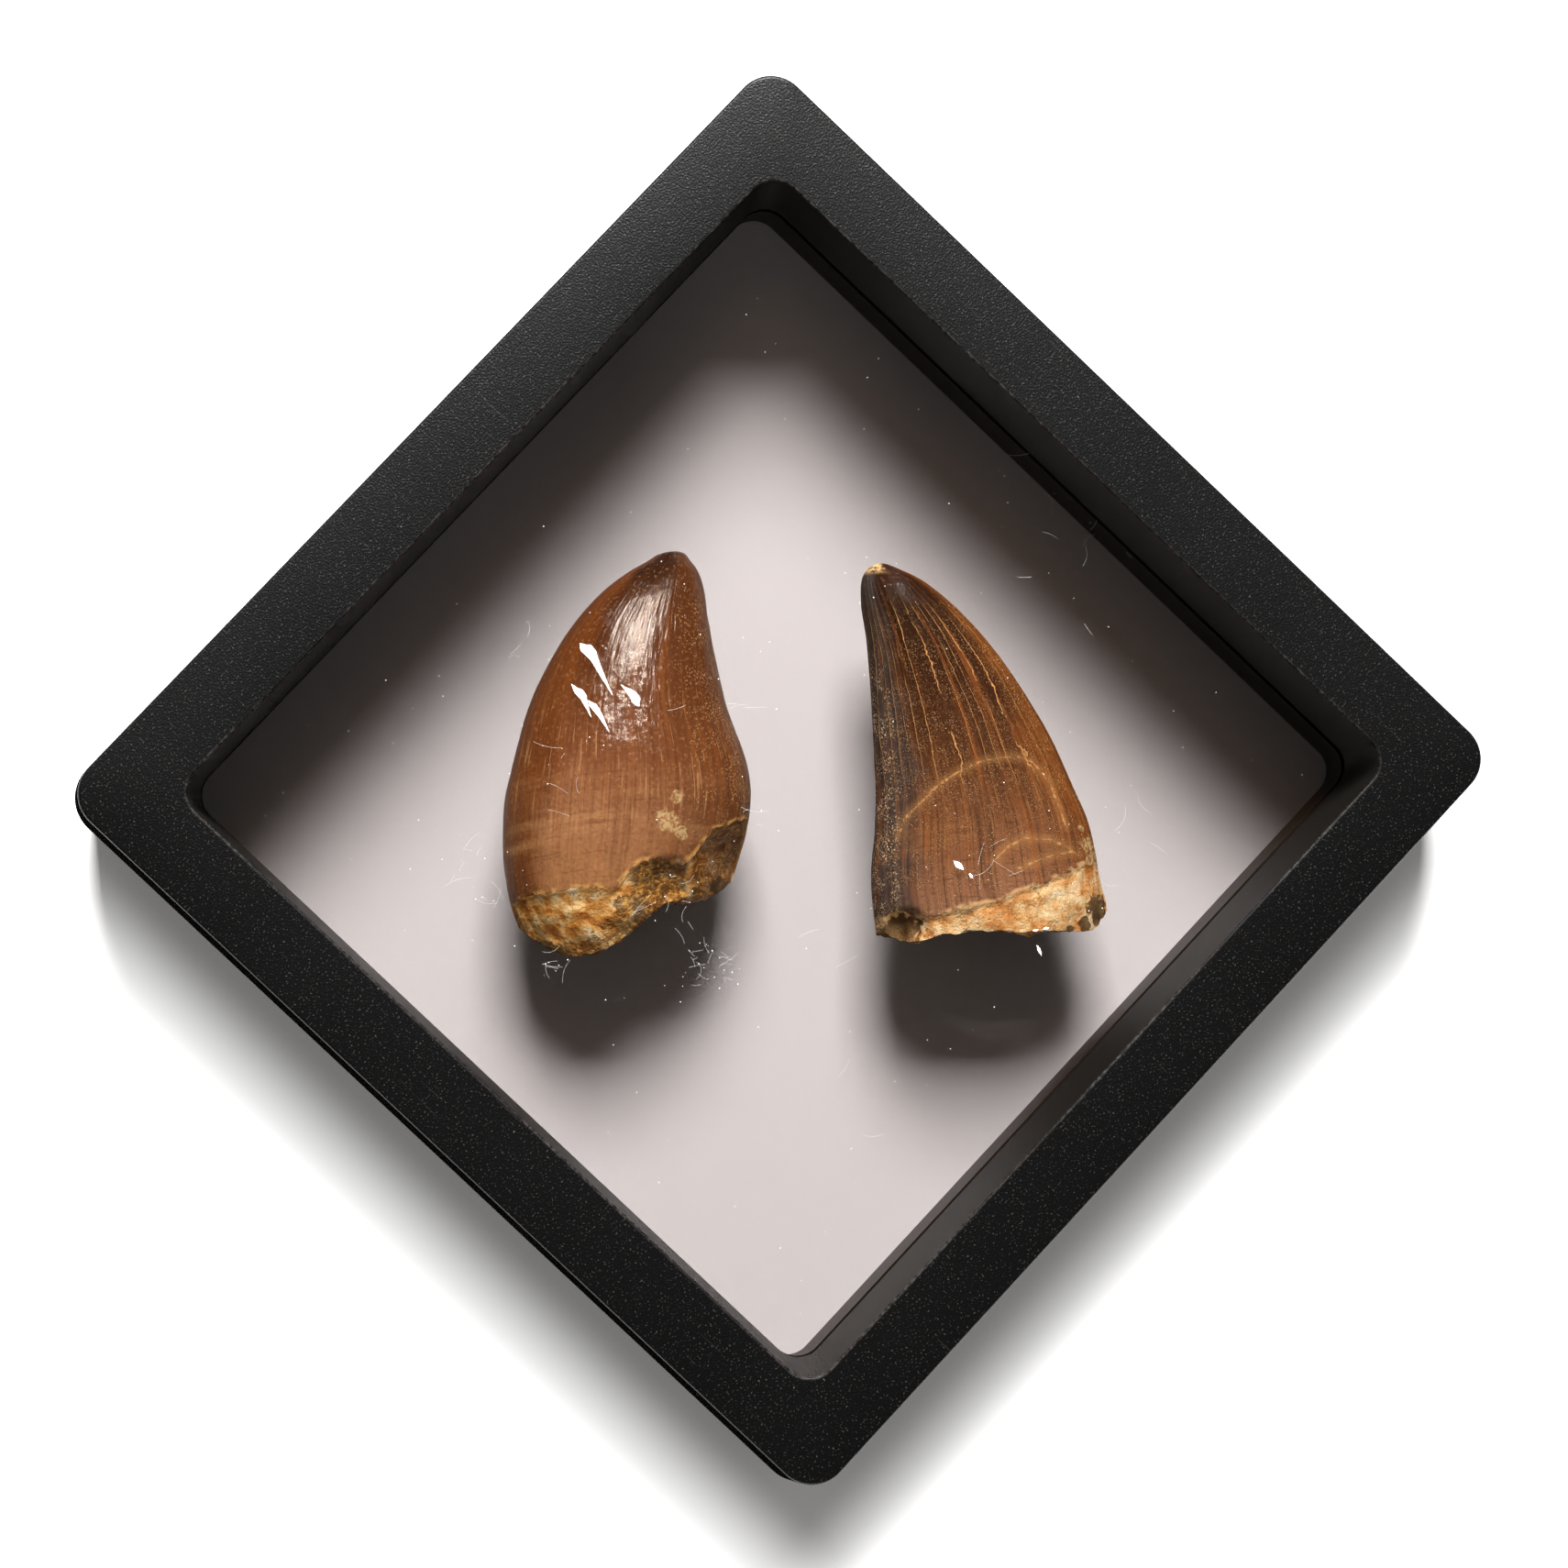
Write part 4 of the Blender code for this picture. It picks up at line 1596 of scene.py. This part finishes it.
RIGHT = ToothSizes(
    tip_up=19.02,
    sides=(
        (0.0, 9.37, 9.37), (0.6, 8.1, 11.2), (1.5, 7.68, 12.9), (3.4, 7.6, 15.25),
        (6.7, 8.0, 18.35), (10.0, 8.23, 20.75), (16.6, 8.5, 24.6), (20.2, 8.58, 26.15),
        (23.3, 8.4, 27.4), (28.0, 7.93, 28.3), (31.0, 8.06, 28.95), (34.5, 8.4, 29.3),
    ),
    base=(
        (-1.0, -13.85), (-0.71, -14.6), (-0.55, -14.15), (0.4, -14.05), (0.94, -13.06),
        (1.0, -12.3),
    ),
    break_line=(
        (6.5, -12.2), (7.3, -12.5), (8.1, -13.1), (8.9, -12.4), (9.6, -11.9), (10.3, -12.1),
        (11.1, -12.6), (12.7, -12.4), (15.4, -11.8), (18.2, -11.4), (20.1, -10.6), (22.3, -9.9),
        (24.5, -9.1), (26.4, -8.4), (29.5, -7.9),
    ),
    broken_step=0.2,
    broken_slope=0.3,
    broken_lumps=0.22,
    flatness=(0.82, 0.68),
    bow=1.2,
    ridges=19,
    ridge_height=0.09,
    swell=0.05,
    seed=9.2,
    arcs=(
        (
            (10.0, -5.3), (10.4, -3.9), (11.4, -2.9), (13.2, -1.1), (14.9, 0.0), (17.1, 1.0),
            (19.0, 1.3), (20.3, 1.4), (21.7, 1.0), (22.7, 0.0), (23.5, -1.1), (24.0, -2.7),
            (24.7, -4.9),
        ),
        ((17.8, -7.9), (19.1, -6.6), (20.7, -5.9), (22.9, -6.0), (24.5, -6.6), (25.6, -7.3)),
        ((20.1, -8.5), (21.7, -7.9), (23.4, -7.4), (25.0, -7.2), (25.8, -7.4)),
    ),
    dents=((10.4, -13.3, 1.9, 1.2),),
)
BROWN_ENAMEL = EnamelFinish(
    name="brown_fossil_enamel",
    # Tip to base; the middle stops are lighter partly as a painted soft sheen
    down=(
        (0.0, "#1c0f0a"), (0.1, "#2e160c"), (0.25, "#47220e"), (0.45, "#6a3e23"),
        (0.62, "#8e5f3f"), (0.8, "#9a6b3f"), (1.0, "#ac7b42"),
    ),
    left_edge="#5f3214",
    right_edge="#4e2811",
    edge_reach=0.15,
    groove="#4b2510",
    groove_stop=24.0,
    groove_depth=0.00010,
    band="#b98a5a",
    band_start=18.0,
    crack="#b48a58",
    crack_share=0.0,
    crack_stop=20.0,
    stripe="#84491c",
    stripe_share=0.3,
    speckles=(
        Speckle("#b98648", (0.3, 0.6), (2.0, 30.0), 3.4, 0.5),
        Speckle("#cba066", (0.65, 0.9), (2.0, 34.0), 4.4, 0.6),
    ),
    pale_chips=((-9.8, -1.5, 0.6), (-10.7, -3.5, 1.0), (-9.5, -4.6, 0.6)),
    dark_spots_and_edge_shade=((-6.0, -9.2, 0.8),),
    dark_spot_colour="#43301c",
    broken_light="#e3aa5e",
    broken_mid="#cd8234",
    broken_dark="#935622",
    block_from=-8.7,
    patch=(-14.0, -8.9),
    broken_relief=0.00013,
    gloss=0.07,
    shine=0.3,
    gold_share=0.42,
    cream=((-22.7, -11.3, 1.4), (-20.6, -11.2, 1.6), (-18.4, -10.9, 1.5), (-16.8, -10.5, 0.9)),
    sandy=(
        (-21.6, -14.7, 1.2), (-19.6, -15.2, 1.4), (-17.2, -14.6, 1.4), (-15.2, -12.9, 1.3),
        (-14.5, -10.9, 1.1),
    ),
)
DARK_ENAMEL = EnamelFinish(
    name="dark_ridged_fossil_enamel",
    down=(
        (0.0, "#241009"), (0.12, "#1a0b05"), (0.3, "#351a0d"), (0.5, "#56321b"),
        (0.66, "#73492f"), (0.8, "#8a6047"), (1.0, "#8f664a"),
    ),
    left_edge="#383635",
    right_edge="#754019",
    edge_reach=0.8,
    groove="#2b180d",
    groove_stop=60.0,
    groove_depth=0.00006,
    band="#8d6038",
    band_start=20.0,
    crack="#c59056",
    crack_share=0.9,
    crack_stop=16.0,
    stripe="#8a4b1e",
    stripe_share=0.48,
    speckles=(
        Speckle("#d6bb94", (-0.75, -0.9), (7.0, 44.0), 3.6, 1.0),
        Speckle("#cdb08a", (-0.8, -0.92), (7.0, 44.0), 5.0, 1.0),
        Speckle("#c08a48", (0.6, 0.9), (0.0, 30.0), 3.6, 0.7),
        Speckle("#b08358", (0.4, -0.2), (10.0, 44.0), 3.0, 0.25),
        Speckle("#c39a6a", (-1.0, -0.8), (3.0, 46.0), 5.5, 0.5),
    ),
    pale_chips=((26.9, -6.6, 0.8), (26.2, -5.0, 0.4), (27.5, -7.9, 1.0)),
    # The last two dark spots lie along the base's lower edge and are painted shade
    dark_spots_and_edge_shade=(
        (10.2, -13.5, 1.5), (8.9, -13.9, 0.8), (27.7, -12.2, 1.2), (28.2, -13.2, 1.1),
        (26.4, -13.6, 0.7), (24.9, -14.1, 0.5),
    ),
    dark_spot_colour="#4c3722",
    broken_light="#e4ba80",
    broken_mid="#d3985b",
    broken_dark="#b57a42",
    broken_relief=0.0001,
    gloss=0.38,
    shine=0.03,
    tip_wear=0.9,
)
# Across, up, spread and count of each cluster of fibres, after the photographed ones
FIBRE_PLACES = (
    (-28.5, -6.5, 2.5, 6), (-26.5, -9.5, 1.6, 4), (-20.9, -15.6, 1.1, 6), (-7.8, -15.6, 2.2, 12),
    (-5.6, -16.6, 1.8, 6), (-12.0, -12.0, 1.6, 2), (-2.5, -3.0, 3.0, 3), (-4.3, 8.9, 4.0, 4),
    (-20.0, 2.5, 4.0, 5), (-10.0, -10.0, 3.0, 5), (-21.5, 12.0, 3.0, 3), (24.0, 26.0, 6.0, 5),
    (27.0, 20.0, 5.0, 6), (30.0, -4.0, 5.0, 4), (18.0, -8.5, 3.0, 6), (4.0, -26.0, 8.0, 4),
)
# The line that each follows, its half width and where along it that is reached
CREASES = (
    Crease(((-17.7, 12.3), (-16.6, 11.0), (-15.1, 7.6)), 0.62, 0.2),
    Crease(((-18.6, 8.7), (-17.6, 7.4), (-17.0, 5.7)), 0.42, 0.3),
    Crease(((-17.2, 7.2), (-16.2, 5.8), (-15.5, 4.3)), 0.34, 0.2),
    Crease(((-14.3, 8.5), (-13.4, 7.6), (-12.8, 6.5)), 0.5, 0.8),
    Crease(((14.3, -7.7), (15.1, -8.5)), 0.4, 0.5),
    Crease(((15.6, -8.8), (15.9, -9.3)), 0.18, 0.5),
    Crease(((21.2, -14.0), (21.7, -13.95)), 0.16, 0.5),
    Crease(((22.2, -13.9), (22.7, -13.8)), 0.16, 0.5),
    Crease(((21.7, -15.3), (22.0, -16.2)), 0.2, 0.4),
)


def main() -> None:
    """Build the display piece by piece."""
    logging.basicConfig(level=logging.INFO, format="%(message)s")
    box_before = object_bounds()
    plastic = PlasticFinish().build()
    wall = PlasticFinish(name="black_abs_outer_wall", shine=0.0).build()
    pieces = []
    for name, side in (("frame_back", -1), ("frame_front", 1)):
        piece = FrameHalf().build(f"{name}_moulding", side, plastic, wall)
        pieces.append((piece, name, Slot.FRAME))
    teeth = []
    for name, sizes, finish, slot in (
        ("tooth_left", LEFT, BROWN_ENAMEL, Slot.BROWN),
        ("tooth_right", RIGHT, DARK_ENAMEL, Slot.DARK),
    ):
        piece = Tooth(sizes).build(f"{name}_crown", finish.build())
        teeth.append(piece)
        pieces.append((piece, name, slot))
    studio = Studio()
    back_film = FilmFinish(name="clear_elastic_back_film", gloss_share=0.004)
    for name, side, finish in (("film_back", -1, back_film), ("film_front", 1, FilmFinish())):
        film = Film()
        piece = film.build(f"{name}_sheet", side, teeth, finish.build())
        pieces.append((piece, name, Slot.FILM))
    bm = bmesh.new()
    for crease in CREASES:
        crease.build(bm, film, studio.lamp_at, studio.eye)
    glossy = FilmFinish("creased_film", "#ffffff", scuff_and_reflection_share=0.0, gloss_share=1.4, roughness=0.2)
    pieces.append((add_piece("film_creases", bm, glossy.build(), 180), "", Slot.FILM))
    pieces.append((Lint().build("film_lint", film, LintFinish().build()), "", Slot.FILM))
    for piece, node, slot in pieces:
        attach(piece, "root")
        if node:
            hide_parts(node)
        log.info("%s: %d faces", piece.name, len(piece.data.polygons))
    studio.floor(FloorFinish().build())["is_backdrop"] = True
    studio.light()
    studio.camera()
    bpy.context.scene.view_settings.view_transform = "Standard"
    sizes = {"before": [list(c) for c in box_before], "after": [list(c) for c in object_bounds()]}


if __name__ == "__main__":
    main()
